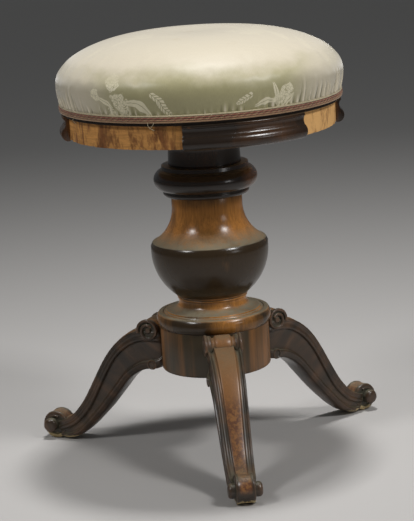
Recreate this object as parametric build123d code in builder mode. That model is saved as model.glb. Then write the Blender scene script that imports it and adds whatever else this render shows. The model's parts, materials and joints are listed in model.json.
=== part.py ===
"""Revolving piano stool on a turned column and three scrolled legs.

Sizes are millimetres. The stool stands on z = 0 and its lifting screw runs up the Z axis,
with the seat wound right down. Azimuths are degrees from +X towards +Y; the front leg points
close to -Y.
"""

from build123d import *
from math import cos, radians, sin
import os

# Fits
GLUE_FIT = 0.05  # radial room in a glued or driven joint
SOFT_FIT = 0.3  # room round a soft or a sliding piece
WASHER_FIT = 0.08  # radial running fit of the loose washer on its stud
TURNED_STEP = 1.0  # small step or chamfer where turned parts of a profile meet

# Legs
LEG_AZIMUTHS = {"leg_right": 35.8, "leg_left": 155.8, "leg_front": 275.8}
LEG_REACH = 160.0  # drum face to the centre of the foot scroll
LEG_RISE = 151.0  # floor to the centre of the volute at the leg's head
LEG_WIDTH_HEAD = 43.0
LEG_WIDTH_FOOT = 31.0
LEG_DEPTH_HEAD = 53.0
LEG_DEPTH_KNEE = 46.0
LEG_DEPTH_ANKLE = 28.5
FACE_BAND_HEAD = 27.0  # raised band down the middle of the show face
FACE_BAND_FOOT = 12.0
FACE_COVE_DEPTH = 3.4  # hollow between that band and the outer bead
FACE_COVE_STEP = 0.8  # width of the band's slanted side
EDGE_BEAD = 4.0
SIDE_BAND_HEAD = 16.0  # upper band along each side
SIDE_BAND_FOOT = 12.0
SIDE_RIB_HEAD = 11.0  # lower rib along each side
SIDE_RIB_FOOT = 5.0
SIDE_SINK = 2.0  # depth of the field between band and rib
UNDERSIDE_CHAMFER = 4.0
SCRIBE_DEPTH = 5.0  # how far the uncut head runs into the drum before it is scribed
SOLE_SINK = 1.5  # how far the uncut sole dips below the floor

# Volute at the head of a leg, and the small scroll under it
VOLUTE_R = 13.0
VOLUTE_OUT = 15.0  # drum face to the volute's centre
VOLUTE_RING_W = 8.0
VOLUTE_COVE_W = 5.0
VOLUTE_COVE_DEPTH = 2.5
VOLUTE_EYE_R = 6.5
VOLUTE_GROOVE_W = 2.5
VOLUTE_GROOVE_DEPTH = 2.0
VOLUTE_EDGE = 1.0
LOBE_R = 7.0
LOBE_OUT = 12.5  # drum face to the small scroll's centre
LOBE_UP = 0.5  # drum's underside up to the small scroll's centre

# Foot scroll
FOOT_R = 17.5
FOOT_WIDTH = 22.0
FOOT_LIFT = 0.4
FOOT_EDGE = 1.5
FOOT_EYE_R = 7.5
FOOT_EYE_SPAN = 41.0  # across both eye bosses
FOOT_EYE_OUT = 5.0  # eye centre beyond the scroll's centre
FOOT_EYE_EDGE = 2.0

# Drum
DRUM_R = 67.0
DRUM_H = 54.0
DRUM_BELOW_VOLUTE = 44.0  # drum's underside below the volute's centre
DRUM_EDGE = 3.0
DOWEL_R = 5.0
DOWEL_LENGTH = 38.0
DOWEL_LOW = 14.0  # lower dowel above the drum's underside
DOWEL_SPACING = 22.0

# Column
TENON_R = 21.0
TENON_SHY = 1.0  # the tenon ends this far above the drum's underside
WEDGE_LENGTH = 26.0
WEDGE_THICK = 3.0
WEDGE_TIP = 1.2
WEDGE_WIDTH = 2 * TENON_R - 4.0
FLANGE_R = DRUM_R + 3.7
FLANGE_H = 17.4
FLANGE_NIP = 3.2  # the torus draws in this much at its top and bottom
FLANGE_RING_R = 59.0
FLANGE_RING_H = 2.0
FLANGE_DISH = 1.2  # rise of the flange's top from its rim to the ring
LOW_NECK_R = 41.5
LOW_NECK_H = 18.4  # ring to the bulb's foot
LOW_COVE_H = 11.0
LOW_BEAD_R = 43.0
LOW_BEAD_H = 2.6
BULB_FOOT_R = 44.3
BULB_R = 71.9
BULB_H = 57.0
BULB_BELLY_R = 66.3
BULB_BELLY_H = 28.0  # bulb's foot up to where it has that radius
RIM_H = 5.0
SHOULDER_R = 69.6
SHOULDER_H = 4.4
NECK_R = 43.4
NECK_SWEEP_H = 42.0  # shoulder up to the slimmest point
NECK_TOP_H = 16.6
SWEEP_R = 54.2
SWEEP_H = 10.6  # shoulder up to where the hollow has that radius
BORE_ROOM = 4.0  # between the screw's crests and the column's bore
BORE_REACH = 8.5  # the bore goes this far below the stud
SPIGOT_R = 30.0
SPIGOT_H = 10.0

# Cap of the column
CAP_FOOT_R = 46.0
CAP_BEAD_R = 52.7
CAP_BEAD_H = 6.0
CAP_WAIST_R = 51.5
CAP_TORUS_R = 63.3
CAP_TORUS_H = 26.0
CAP_FILLET_R = 53.0
CAP_FILLET_H = 4.0

# Screw, nut and stop
PITCH = 8.0
TURNS = 14
CREST_R = 13.0
ROOT_R = 10.5
CREST_WIDTH = 3.0
FLANK_WIDTH = 1.0
RIDGE_SINK = 0.6  # how far the ridge's base reaches into the core
THREAD_FIT = 0.35
NUT_FLANGE_R = 30.0
NUT_FLANGE_H = 4.0
NUT_BARREL_R = CREST_R + 6.0
STOP_GAP = 0.5  # left between washer and nut when the seat is right up
STUD_R = 8.0
STUD_TENON_R = 5.0  # the stud's upper end, driven up into the spindle
STUD_TENON_H = 16.0
COLUMN_BORE_R = CREST_R + BORE_ROOM
WASHER_R = COLUMN_BORE_R - 1.0
WASHER_H = 3.0
END_NUT_FLATS = 24.0
END_NUT_H = 8.0
STUD_TAIL = 3.0
PIN_R = 1.5
PIN_LENGTH = 25.0
RIVET_R = 9.0

# Seat boss and plate
BOSS_FOOT_R = 44.5
BOSS_WAIST_R = 43.7
BOSS_H = 43.0
BOSS_WAIST_H = 19.0  # straight part before the flare
BOSS_FLARE_R = 59.0
BOSS_LIP_H = 6.0
PLATE_R = 32.0
PLATE_H = 4.0

# Seat frame
BOARD_R = 140.0
BOARD_H = 22.0
RAIL_WALL = 22.0  # board's edge out to the face of the rail
RAIL_R = BOARD_R + RAIL_WALL
RAIL_REST = 8.0  # width of the rail that lies over the board
RAIL_INNER_R = BOARD_R - RAIL_REST
RAIL_FACE_H = 28.0  # face that the mouldings are glued to
LIP_OUT = 5.0
LIP_R = RAIL_R + LIP_OUT
LIP_H = 14.0
MOULDING_DROP = 1.5  # the mouldings hang this far below the rail
MOULDING_FILLET_R = LIP_R + 2.0
MOULDING_FILLET_H = 3.5
MOULDING_COVE_R = RAIL_R + 4.6
MOULDING_COVE_H = 20.0  # moulding's foot up to the bottom of the cove
MOULDING_BELLY_R = RAIL_R + 10.3
MOULDING_BELLY_H = 8.0
MOULDING_FOOT_R = RAIL_R + 3.5
MOULDINGS = {  # azimuths where each length of moulding starts and ends
    "moulding_front": (-98.0, -45.0),
    "moulding_right_back": (-5.0, 94.8),
    "moulding_left_back": (95.2, 193.0),
}

# Cushion
COVER_T = 1.2
CUSHION_BULGE = 4.8  # widest point beyond the hem
CUSHION_SIDE_H = 26.0  # rail's top up to the widest point
CROWN_H = 50.0
CROWN_FULLNESS = 2.4  # exponent of the crown's outline: 2 is an ellipse, more is squarer
CROWN_STEPS = 8
GIMP_H = 9.0
GIMP_T = 2.6
GIMP_GROOVE = 1.0  # depth of the groove between its two cords
GIMP_SHY = 1.0  # the gimp ends this far below the rail's top
TACK_COUNT = 32
TACK_HEAD_R = 2.6
TACK_HEAD_T = 0.6
TACK_SHANK_R = 0.8
TACK_LENGTH = 11.0

# Wood screws: radius of their ring, count, head radius, shank radius, length
NUT_SCREW_COUNT = 3
PLATE_SCREW_COUNT = 4
BOSS_SCREW_COUNT = 3
RAIL_SCREW_COUNT = 6
NUT_SCREWS = ((NUT_BARREL_R + NUT_FLANGE_R) / 2, NUT_SCREW_COUNT, 3.6, 1.9, 20.0)
PLATE_SCREWS = (PLATE_R - 9.5, PLATE_SCREW_COUNT, 3.8, 2.0, 19.0)
BOSS_SCREWS = (BOSS_WAIST_R - 6.2, BOSS_SCREW_COUNT, 4.2, 2.2, 44.0)
RAIL_SCREWS = (BOARD_R - RAIL_REST / 2, RAIL_SCREW_COUNT, 3.4, 1.7, 30.0)
SLOT_WIDTH = 0.9
SLOT_DEPTH = 0.8
HEAD_CONE = 0.75  # depth of a countersunk head as a share of its radius

# Heights, each from the one below
DRUM_FOOT = LEG_RISE - DRUM_BELOW_VOLUTE
DRUM_TOP = DRUM_FOOT + DRUM_H
TENON_FOOT = DRUM_FOOT + TENON_SHY
FLANGE_TOP = DRUM_TOP + FLANGE_H
RING_FOOT = FLANGE_TOP + FLANGE_DISH
RING_TOP = RING_FOOT + FLANGE_RING_H
BULB_FOOT = RING_TOP + LOW_NECK_H
BULB_TOP = BULB_FOOT + BULB_H
RIM_TOP = BULB_TOP + RIM_H
SHOULDER_TOP = RIM_TOP + SHOULDER_H
NECK_SLIM = SHOULDER_TOP + NECK_SWEEP_H
COLUMN_TOP = NECK_SLIM + NECK_TOP_H
CAP_WAIST = COLUMN_TOP + CAP_BEAD_H
CAP_SHELF = CAP_WAIST + CAP_TORUS_H
CAP_TOP = CAP_SHELF + CAP_FILLET_H
PLATE_FOOT = CAP_TOP + BOSS_H - PLATE_H
BOARD_FOOT = CAP_TOP + BOSS_H
BOARD_TOP = BOARD_FOOT + BOARD_H
RAIL_LIP = BOARD_FOOT + RAIL_FACE_H
RAIL_TOP = RAIL_LIP + LIP_H
WIDEST = RAIL_TOP + CUSHION_SIDE_H
WASHER_TOP = COLUMN_TOP - TURNS * PITCH - STOP_GAP
THREAD_FOOT = WASHER_TOP + SOFT_FIT
THREAD_START = THREAD_FOOT + PITCH / 2
END_NUT_TOP = WASHER_TOP - WASHER_H
END_NUT_FOOT = END_NUT_TOP - END_NUT_H
STUD_FOOT = END_NUT_FOOT - STUD_TAIL
FOOT_RHO = DRUM_R + LEG_REACH
FOOT_Z = FOOT_R + FOOT_LIFT
HEM_R = LIP_R + SOFT_FIT + COVER_T
CUSHION_R = HEM_R + CUSHION_BULGE
GIMP_TOP = RAIL_TOP - GIMP_SHY
GIMP_FOOT = GIMP_TOP - GIMP_H
GIMP_INNER_R = HEM_R + TACK_HEAD_T + GLUE_FIT
TACK_Z = GIMP_FOOT + GIMP_H / 2

AXIAL = Plane.XZ  # half profiles are drawn here as (radius, height)
HANG = (Align.CENTER, Align.CENTER, Align.MAX)  # a solid below its place
STAND = (Align.CENTER, Align.CENTER, Align.MIN)  # a solid above its place


def save(piece, name):
    """Label a finished piece and write it."""
    piece.part.label = name
    export_step(piece.part, f"parts/{name}.step")


def azimuth_plane(azimuth):
    """Vertical plane through the axis: local x runs out along the azimuth, local y up."""
    a = radians(azimuth)
    return Plane(origin=(0, 0, 0), x_dir=(cos(a), sin(a), 0), z_dir=(sin(a), -cos(a), 0))


def radial_place(azimuth, radius, height):
    """Place whose Z axis points outwards from the stool's axis."""
    a = radians(azimuth)
    out = (cos(a), sin(a), 0)
    return Plane(origin=(radius * cos(a), radius * sin(a), height), z_dir=out).location


def blend(start, end, share, power=1.0):
    """Value between two ends; a power over 1 changes fast at the start."""
    return end + (start - end) * (1 - share) ** power


# ---------------------------------------------------------------- wood screws
def wood_screw(spec, room):
    """Countersunk screw with its head's face at z = 0 and its point down."""
    _, _, head_r, shank_r, length = spec
    cone = HEAD_CONE * head_r
    with BuildPart() as screw:
        with BuildSketch(AXIAL) as half:
            with BuildLine():
                Polyline(
                    (0, 0),
                    (head_r + room, 0),
                    (shank_r + room, -cone),
                    (shank_r + room, -length + 2 * shank_r),
                    (0, -length - room),
                    close=True,
                )
            make_face()
        revolve(half.sketch, axis=Axis.Z)
    return screw.part


def screw_places(spec, height, up):
    """Places round the axis for a ring of screws, with their heads at a height."""
    radius, count, _, _, _ = spec
    turn = (180, 0, 0) if up else (0, 0, 0)
    azimuths = [radians(360 / count * (i + 0.5)) for i in range(count)]
    return [Location((radius * cos(a), radius * sin(a), height), turn) for a in azimuths]


def add_screws(spec, height, up=False):
    """Add a ring of slotted screws to the open part."""
    _, _, head_r, _, _ = spec
    with Locations(*screw_places(spec, height, up)):
        add(wood_screw(spec, 0.0))
        Box(3 * head_r, SLOT_WIDTH, 2 * SLOT_DEPTH, mode=Mode.SUBTRACT)


def drill_screws(spec, height, up=False):
    """Cut the holes of a ring of screws in the open part."""
    with Locations(*screw_places(spec, height, up)):
        add(wood_screw(spec, GLUE_FIT), mode=Mode.SUBTRACT)


# ---------------------------------------------------------------- legs
# Along the show face from head to foot: reach and rise as shares of the leg's reach and
# rise, lean of the cross-section from upright in degrees, and its depth.
LEG_STATIONS = [
    (-SCRIBE_DEPTH / LEG_REACH, 1.010, 0.0, LEG_DEPTH_HEAD * 0.93),
    (0.200, 1.010, 8.0, LEG_DEPTH_HEAD),
    (0.312, 0.954, 15.6, LEG_DEPTH_HEAD * 0.98),
    (0.416, 0.868, 22.0, blend(LEG_DEPTH_HEAD, LEG_DEPTH_KNEE, 0.4)),
    (0.506, 0.748, 30.0, LEG_DEPTH_KNEE),
    (0.584, 0.606, 37.0, blend(LEG_DEPTH_KNEE, LEG_DEPTH_ANKLE, 0.36)),
    (0.656, 0.470, 43.8, blend(LEG_DEPTH_KNEE, LEG_DEPTH_ANKLE, 0.65)),
    (0.727, 0.344, 50.0, blend(LEG_DEPTH_KNEE, LEG_DEPTH_ANKLE, 0.92)),
    (0.802, 0.252, 49.0, LEG_DEPTH_ANKLE),
    (0.870, 0.192, 38.0, LEG_DEPTH_ANKLE),
    (0.950, 0.162, 30.0, LEG_DEPTH_ANKLE + SOLE_SINK),
]


def leg_section(share, depth):
    """Outline of one cross-section: across the leg, and down from the show face."""
    half = blend(LEG_WIDTH_HEAD, LEG_WIDTH_FOOT, share, 1.1) / 2
    face = blend(FACE_BAND_HEAD, FACE_BAND_FOOT, share, 1.2) / 2
    band = blend(SIDE_BAND_HEAD, SIDE_BAND_FOOT, share)
    rib = blend(SIDE_RIB_HEAD, SIDE_RIB_FOOT, share)
    right = [
        (face, 0),
        (face + FACE_COVE_STEP, -0.7 * FACE_COVE_DEPTH),
        ((face + half) / 2, -FACE_COVE_DEPTH),
        (half - 0.75 * EDGE_BEAD, -0.5 * FACE_COVE_DEPTH),
        (half - 0.2 * EDGE_BEAD, -0.6 * FACE_COVE_DEPTH),
        (half, -FACE_COVE_DEPTH - TURNED_STEP),
        (half, -band),
        (half - SIDE_SINK, -band - SIDE_SINK),
        (half - SIDE_SINK, -depth + rib + SIDE_SINK / 2),
        (half - SIDE_SINK / 4, -depth + rib),
        (half - SIDE_SINK / 4, -depth + UNDERSIDE_CHAMFER),
        (half - UNDERSIDE_CHAMFER, -depth),
    ]
    return right + [(-x, y) for x, y in reversed(right)]


def leg_station_plane(reach, rise, lean):
    """Plane of a cross-section, with local x across the leg and local y up its depth."""
    a = radians(lean)
    place = (DRUM_R + reach * LEG_REACH, 0, rise * LEG_RISE)
    return Plane(origin=place, x_dir=(0, 1, 0), z_dir=(cos(a), 0, -sin(a)))


def volute_section():
    """Section of the volute's roll: radius, and place across the leg."""
    half = LEG_WIDTH_HEAD / 2
    ring = half - VOLUTE_RING_W
    middle = ring - VOLUTE_COVE_W
    floor = VOLUTE_R - VOLUTE_COVE_DEPTH
    sunk = half - VOLUTE_GROOVE_DEPTH
    side = [
        (VOLUTE_R, middle),
        (floor, middle + VOLUTE_EDGE),
        (floor, ring - VOLUTE_EDGE),
        (VOLUTE_R, ring),
        (VOLUTE_R, half - VOLUTE_EDGE),
        (VOLUTE_R - VOLUTE_EDGE, half),
        (VOLUTE_EYE_R + VOLUTE_GROOVE_W, half),
        (VOLUTE_EYE_R + VOLUTE_GROOVE_W, sunk),
        (VOLUTE_EYE_R, sunk),
        (VOLUTE_EYE_R - VOLUTE_EDGE, half),
        (0, half),
    ]
    return [(x, -y) for x, y in reversed(side)] + side


# One leg along +X, before it is turned to its azimuth
with BuildPart() as leg_form:
    for i, (reach, rise, lean, depth) in enumerate(LEG_STATIONS):
        with BuildSketch(leg_station_plane(reach, rise, lean)):
            with BuildLine():
                Polyline(*leg_section(i / (len(LEG_STATIONS) - 1), depth), close=True)
            make_face()
    loft()
    # the volute, a roll of two rings and a middle with a groove round each eye
    volute_centre = (DRUM_R + VOLUTE_OUT, 0, LEG_RISE)
    with BuildSketch(Plane(origin=volute_centre)):
        with BuildLine():
            Polyline(*volute_section(), close=True)
        make_face()
    revolve(axis=Axis(volute_centre, (0, 1, 0)))
    # the small scroll where the lower rib meets the drum
    with Locations(Location((DRUM_R + LOBE_OUT, 0, DRUM_FOOT + LOBE_UP), (90, 0, 0))):
        Cylinder(LOBE_R, LEG_WIDTH_HEAD)
    # the foot scroll, with an eye boss on each side
    foot_edge_r = FOOT_R - FOOT_EDGE
    with BuildSketch(Plane(origin=(FOOT_RHO, 0, FOOT_Z))):
        with BuildLine():
            Polyline(
                (0, -FOOT_WIDTH / 2),
                (foot_edge_r, -FOOT_WIDTH / 2),
                (FOOT_R, FOOT_EDGE - FOOT_WIDTH / 2),
                (FOOT_R, FOOT_WIDTH / 2 - FOOT_EDGE),
                (foot_edge_r, FOOT_WIDTH / 2),
                (0, FOOT_WIDTH / 2),
                close=True,
            )
        make_face()
    revolve(axis=Axis((FOOT_RHO, 0, FOOT_Z), (0, 1, 0)))
    eye_edge_r = FOOT_EYE_R - FOOT_EYE_EDGE
    with BuildSketch(Plane(origin=(FOOT_RHO + FOOT_EYE_OUT, 0, FOOT_Z))):
        with BuildLine():
            Polyline(
                (0, -FOOT_EYE_SPAN / 2),
                (eye_edge_r, -FOOT_EYE_SPAN / 2),
                (FOOT_EYE_R, FOOT_EYE_EDGE - FOOT_EYE_SPAN / 2),
                (FOOT_EYE_R, FOOT_EYE_SPAN / 2 - FOOT_EYE_EDGE),
                (eye_edge_r, FOOT_EYE_SPAN / 2),
                (0, FOOT_EYE_SPAN / 2),
                close=True,
            )
        make_face()
    revolve(axis=Axis((FOOT_RHO + FOOT_EYE_OUT, 0, FOOT_Z), (0, 1, 0)))
    # scribed to the drum, cut flat under the sole and bored for its dowels
    Cylinder(DRUM_R, 4 * LEG_RISE, mode=Mode.SUBTRACT)
    split(bisect_by=Plane.XY)
    with Locations(*[radial_place(0, DRUM_R, DRUM_FOOT + DOWEL_LOW + i * DOWEL_SPACING) for i in (0, 1)]):
        Cylinder(DOWEL_R + GLUE_FIT, DOWEL_LENGTH + SOFT_FIT, mode=Mode.SUBTRACT)

for name, azimuth in LEG_AZIMUTHS.items():
    with BuildPart() as leg:
        add(leg_form.part, rotation=(0, 0, azimuth))
    save(leg, name)

DOWEL_PLACES = [
    radial_place(azimuth, DRUM_R, DRUM_FOOT + DOWEL_LOW + i * DOWEL_SPACING)
    for azimuth in LEG_AZIMUTHS.values()
    for i in (0, 1)
]
with BuildPart() as leg_dowels:
    with Locations(*DOWEL_PLACES):
        Cylinder(DOWEL_R, DOWEL_LENGTH)
save(leg_dowels, "leg_dowels")

# ---------------------------------------------------------------- drum
with BuildPart() as drum:
    with Locations((0, 0, DRUM_FOOT)):
        Cylinder(DRUM_R, DRUM_H, align=STAND)
    fillet(drum.edges().filter_by(GeomType.CIRCLE).sort_by(Axis.Z)[0], DRUM_EDGE)
    with Locations((0, 0, DRUM_TOP)):
        Hole(TENON_R + GLUE_FIT)
    with Locations(*DOWEL_PLACES):
        Cylinder(DOWEL_R + GLUE_FIT, DOWEL_LENGTH + SOFT_FIT, mode=Mode.SUBTRACT)
save(drum, "drum")


# ---------------------------------------------------------------- column
def wedge_outline():
    """Side view of the wedge, thick end down at the tenon's foot."""
    return [
        (-WEDGE_THICK / 2, TENON_FOOT),
        (WEDGE_THICK / 2, TENON_FOOT),
        (WEDGE_TIP / 2, TENON_FOOT + WEDGE_LENGTH),
        (-WEDGE_TIP / 2, TENON_FOOT + WEDGE_LENGTH),
    ]


with BuildPart() as column:
    with BuildSketch(AXIAL):
        with BuildLine():
            Polyline(
                (0, TENON_FOOT),
                (TENON_R, TENON_FOOT),
                (TENON_R, DRUM_TOP),
                (FLANGE_R - FLANGE_NIP, DRUM_TOP),
            )
            ThreePointArc(
                (FLANGE_R - FLANGE_NIP, DRUM_TOP),
                (FLANGE_R, DRUM_TOP + FLANGE_H / 2),
                (FLANGE_R - FLANGE_NIP, FLANGE_TOP),
            )
            Polyline(
                (FLANGE_R - FLANGE_NIP, FLANGE_TOP),
                (FLANGE_RING_R, RING_FOOT),
                (FLANGE_RING_R - TURNED_STEP, RING_TOP),
            )
            Spline(
                (FLANGE_RING_R - TURNED_STEP, RING_TOP),
                (LOW_NECK_R, RING_TOP + LOW_COVE_H),
                tangents=[(-1, 0.05), (0, 1)],
            )
            bead_foot = BULB_FOOT - 2 * LOW_BEAD_H
            Line((LOW_NECK_R, RING_TOP + LOW_COVE_H), (LOW_NECK_R, bead_foot))
            ThreePointArc(
                (LOW_NECK_R, bead_foot),
                (LOW_BEAD_R, bead_foot + LOW_BEAD_H / 2),
                (LOW_NECK_R, bead_foot + LOW_BEAD_H),
            )
            Polyline(
                (LOW_NECK_R, bead_foot + LOW_BEAD_H),
                (BULB_FOOT_R, BULB_FOOT - TURNED_STEP),
                (BULB_FOOT_R, BULB_FOOT),
            )
            ThreePointArc(
                (BULB_FOOT_R, BULB_FOOT),
                (BULB_BELLY_R, BULB_FOOT + BULB_BELLY_H),
                (BULB_R, BULB_TOP),
            )
            Polyline((BULB_R, BULB_TOP), (BULB_R, RIM_TOP), (SHOULDER_R, SHOULDER_TOP))
            Spline(
                (SHOULDER_R, SHOULDER_TOP),
                (SWEEP_R, SHOULDER_TOP + SWEEP_H),
                (NECK_R, NECK_SLIM),
                tangents=[(-1, 0.45), (0, 1)],
            )
            Polyline(
                (NECK_R, NECK_SLIM),
                (NECK_R, COLUMN_TOP),
                (SPIGOT_R, COLUMN_TOP),
                (SPIGOT_R, COLUMN_TOP + SPIGOT_H),
                (0, COLUMN_TOP + SPIGOT_H),
                (0, TENON_FOOT),
            )
        make_face()
    revolve(axis=Axis.Z)
    with Locations((0, 0, COLUMN_TOP + SPIGOT_H)):
        CounterBoreHole(
            COLUMN_BORE_R,
            counter_bore_radius=NUT_BARREL_R + GLUE_FIT,
            counter_bore_depth=SPIGOT_H,
            depth=COLUMN_TOP + SPIGOT_H - STUD_FOOT + BORE_REACH,
        )
    with BuildSketch(AXIAL):
        with BuildLine():
            Polyline(*wedge_outline(), close=True)
        make_face()
    extrude(amount=TENON_R + TURNED_STEP, both=True, mode=Mode.SUBTRACT)
save(column, "column")

with BuildPart() as tenon_wedge:
    with BuildSketch(AXIAL):
        with BuildLine():
            Polyline(*wedge_outline(), close=True)
        make_face()
    extrude(amount=WEDGE_WIDTH / 2, both=True)
save(tenon_wedge, "tenon_wedge")

with BuildPart() as column_cap:
    with BuildSketch(AXIAL):
        with BuildLine():
            Polyline((0, CAP_TOP), (0, COLUMN_TOP), (CAP_FOOT_R, COLUMN_TOP))
            ThreePointArc(
                (CAP_FOOT_R, COLUMN_TOP),
                (CAP_BEAD_R, COLUMN_TOP + CAP_BEAD_H / 2),
                (CAP_WAIST_R, CAP_WAIST),
            )
            ThreePointArc(
                (CAP_WAIST_R, CAP_WAIST),
                (CAP_TORUS_R, CAP_WAIST + CAP_TORUS_H / 2),
                (CAP_FILLET_R, CAP_SHELF),
            )
            Polyline((CAP_FILLET_R, CAP_SHELF), (CAP_FILLET_R, CAP_TOP), (0, CAP_TOP))
        make_face()
    revolve(axis=Axis.Z)
    with Locations((0, 0, CAP_TOP)):
        CounterBoreHole(
            NUT_BARREL_R + GLUE_FIT,
            counter_bore_radius=NUT_FLANGE_R + GLUE_FIT,
            counter_bore_depth=NUT_FLANGE_H,
        )
    with Locations((0, 0, COLUMN_TOP)):
        Cylinder(SPIGOT_R + GLUE_FIT, SPIGOT_H, align=STAND, mode=Mode.SUBTRACT)
    drill_screws(NUT_SCREWS, CAP_TOP)
save(column_cap, "column_cap")


# ---------------------------------------------------------------- nut, screw and stop
def thread_ridge(start, turns, room=0.0):
    """Single-start right-hand ridge wound up from a height, its base sunk into the core."""
    half = CREST_WIDTH / 2 + room
    base = half + FLANK_WIDTH * (1 + RIDGE_SINK / (CREST_R - ROOT_R))
    crest_r = CREST_R + room
    base_r = ROOT_R + room - RIDGE_SINK
    with BuildPart() as ridge:
        with BuildSketch(AXIAL) as section:
            with BuildLine():
                Polyline(
                    (base_r, start - base),
                    (crest_r, start - half),
                    (crest_r, start + half),
                    (base_r, start + base),
                    close=True,
                )
            make_face()
        path = Edge.make_helix(PITCH, turns * PITCH, ROOT_R, center=(0, 0, start))
        sweep(section.sketch, path=path, is_frenet=True)
    return ridge.part


screw_ridge = thread_ridge(THREAD_START, int((CAP_TOP - THREAD_START) / PITCH) - 1)
tap_start = THREAD_START + (TURNS - 2) * PITCH
tap_ridge = thread_ridge(tap_start, int((CAP_TOP - tap_start) / PITCH) + 2, THREAD_FIT)

with BuildPart() as column_nut:
    with Locations((0, 0, CAP_TOP)):
        Cylinder(NUT_FLANGE_R, NUT_FLANGE_H, align=HANG)
        Cylinder(NUT_BARREL_R, CAP_TOP - COLUMN_TOP, align=HANG)
    add(tap_ridge, mode=Mode.SUBTRACT)
    with Locations((0, 0, CAP_TOP)):
        Hole(ROOT_R + THREAD_FIT)
    drill_screws(NUT_SCREWS, CAP_TOP)
save(column_nut, "column_nut")

with BuildPart() as nut_screws:
    add_screws(NUT_SCREWS, CAP_TOP)
save(nut_screws, "nut_screws")

with BuildPart() as spindle:
    with Locations((0, 0, THREAD_FOOT)):
        Cylinder(ROOT_R, CAP_TOP - THREAD_FOOT, align=STAND)
    add(screw_ridge)
    with Locations((0, 0, CAP_TOP)):
        Cylinder(CREST_R, PLATE_FOOT - CAP_TOP, align=STAND)
    with Locations((0, 0, PLATE_FOOT)):
        Cylinder(RIVET_R, PLATE_H, align=STAND)
    with Locations((0, 0, THREAD_FOOT)):
        Cylinder(STUD_TENON_R + GLUE_FIT, STUD_TENON_H + SOFT_FIT, align=STAND, mode=Mode.SUBTRACT)
save(spindle, "spindle")

with BuildPart() as end_stud:
    with Locations((0, 0, THREAD_FOOT)):
        Cylinder(STUD_R, THREAD_FOOT - STUD_FOOT, align=HANG)
        Cylinder(STUD_TENON_R, STUD_TENON_H, align=STAND)
    with Locations(radial_place(0, 0, END_NUT_FOOT + END_NUT_H / 2)):
        Cylinder(PIN_R + GLUE_FIT, 2 * STUD_R + TURNED_STEP, mode=Mode.SUBTRACT)
save(end_stud, "end_stud")

with BuildPart() as stop_washer:
    with BuildSketch(Plane.XY.offset(END_NUT_TOP)):
        Circle(WASHER_R)
        Circle(STUD_R + WASHER_FIT, mode=Mode.SUBTRACT)
    extrude(amount=WASHER_H)
save(stop_washer, "stop_washer")

with BuildPart() as end_nut:
    with BuildSketch(Plane.XY.offset(END_NUT_FOOT)):
        RegularPolygon(END_NUT_FLATS / 2, 6, major_radius=False)
        Circle(STUD_R + GLUE_FIT, mode=Mode.SUBTRACT)
    extrude(amount=END_NUT_H)
    with Locations(radial_place(0, 0, END_NUT_FOOT + END_NUT_H / 2)):
        Cylinder(PIN_R + GLUE_FIT, 2 * END_NUT_FLATS, mode=Mode.SUBTRACT)
save(end_nut, "end_nut")

with BuildPart() as lock_pin:
    with Locations(radial_place(0, 0, END_NUT_FOOT + END_NUT_H / 2)):
        Cylinder(PIN_R, PIN_LENGTH)
save(lock_pin, "lock_pin")

# ---------------------------------------------------------------- boss and plate
with BuildPart() as spindle_plate:
    with BuildSketch(Plane.XY.offset(PLATE_FOOT)):
        Circle(PLATE_R)
        Circle(RIVET_R + GLUE_FIT, mode=Mode.SUBTRACT)
    extrude(amount=PLATE_H)
    drill_screws(PLATE_SCREWS, PLATE_FOOT, up=True)
save(spindle_plate, "spindle_plate")

with BuildPart() as plate_screws:
    add_screws(PLATE_SCREWS, PLATE_FOOT, up=True)
save(plate_screws, "plate_screws")

with BuildPart() as seat_boss:
    flare_foot = CAP_TOP + BOSS_WAIST_H
    lip_foot = BOARD_FOOT - BOSS_LIP_H
    with BuildSketch(AXIAL):
        with BuildLine():
            Polyline((0, BOARD_FOOT), (0, CAP_TOP), (BOSS_FOOT_R, CAP_TOP), (BOSS_WAIST_R, flare_foot))
            Spline((BOSS_WAIST_R, flare_foot), (BOSS_FLARE_R, lip_foot), tangents=[(0, 1), (1, 0.3)])
            Polyline((BOSS_FLARE_R, lip_foot), (BOSS_FLARE_R, BOARD_FOOT), (0, BOARD_FOOT))
        make_face()
    revolve(axis=Axis.Z)
    with Locations((0, 0, BOARD_FOOT)):
        CounterBoreHole(
            CREST_R + SOFT_FIT,
            counter_bore_radius=PLATE_R + GLUE_FIT,
            counter_bore_depth=PLATE_H,
        )
    drill_screws(BOSS_SCREWS, BOARD_TOP)
save(seat_boss, "seat_boss")

with BuildPart() as boss_screws:
    add_screws(BOSS_SCREWS, BOARD_TOP)
save(boss_screws, "boss_screws")

# ---------------------------------------------------------------- seat frame
with BuildPart() as seat_board:
    with Locations((0, 0, BOARD_FOOT)):
        Cylinder(BOARD_R, BOARD_H, align=STAND)
    drill_screws(PLATE_SCREWS, PLATE_FOOT, up=True)
    drill_screws(BOSS_SCREWS, BOARD_TOP)
    drill_screws(RAIL_SCREWS, BOARD_FOOT, up=True)
save(seat_board, "seat_board")

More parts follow.
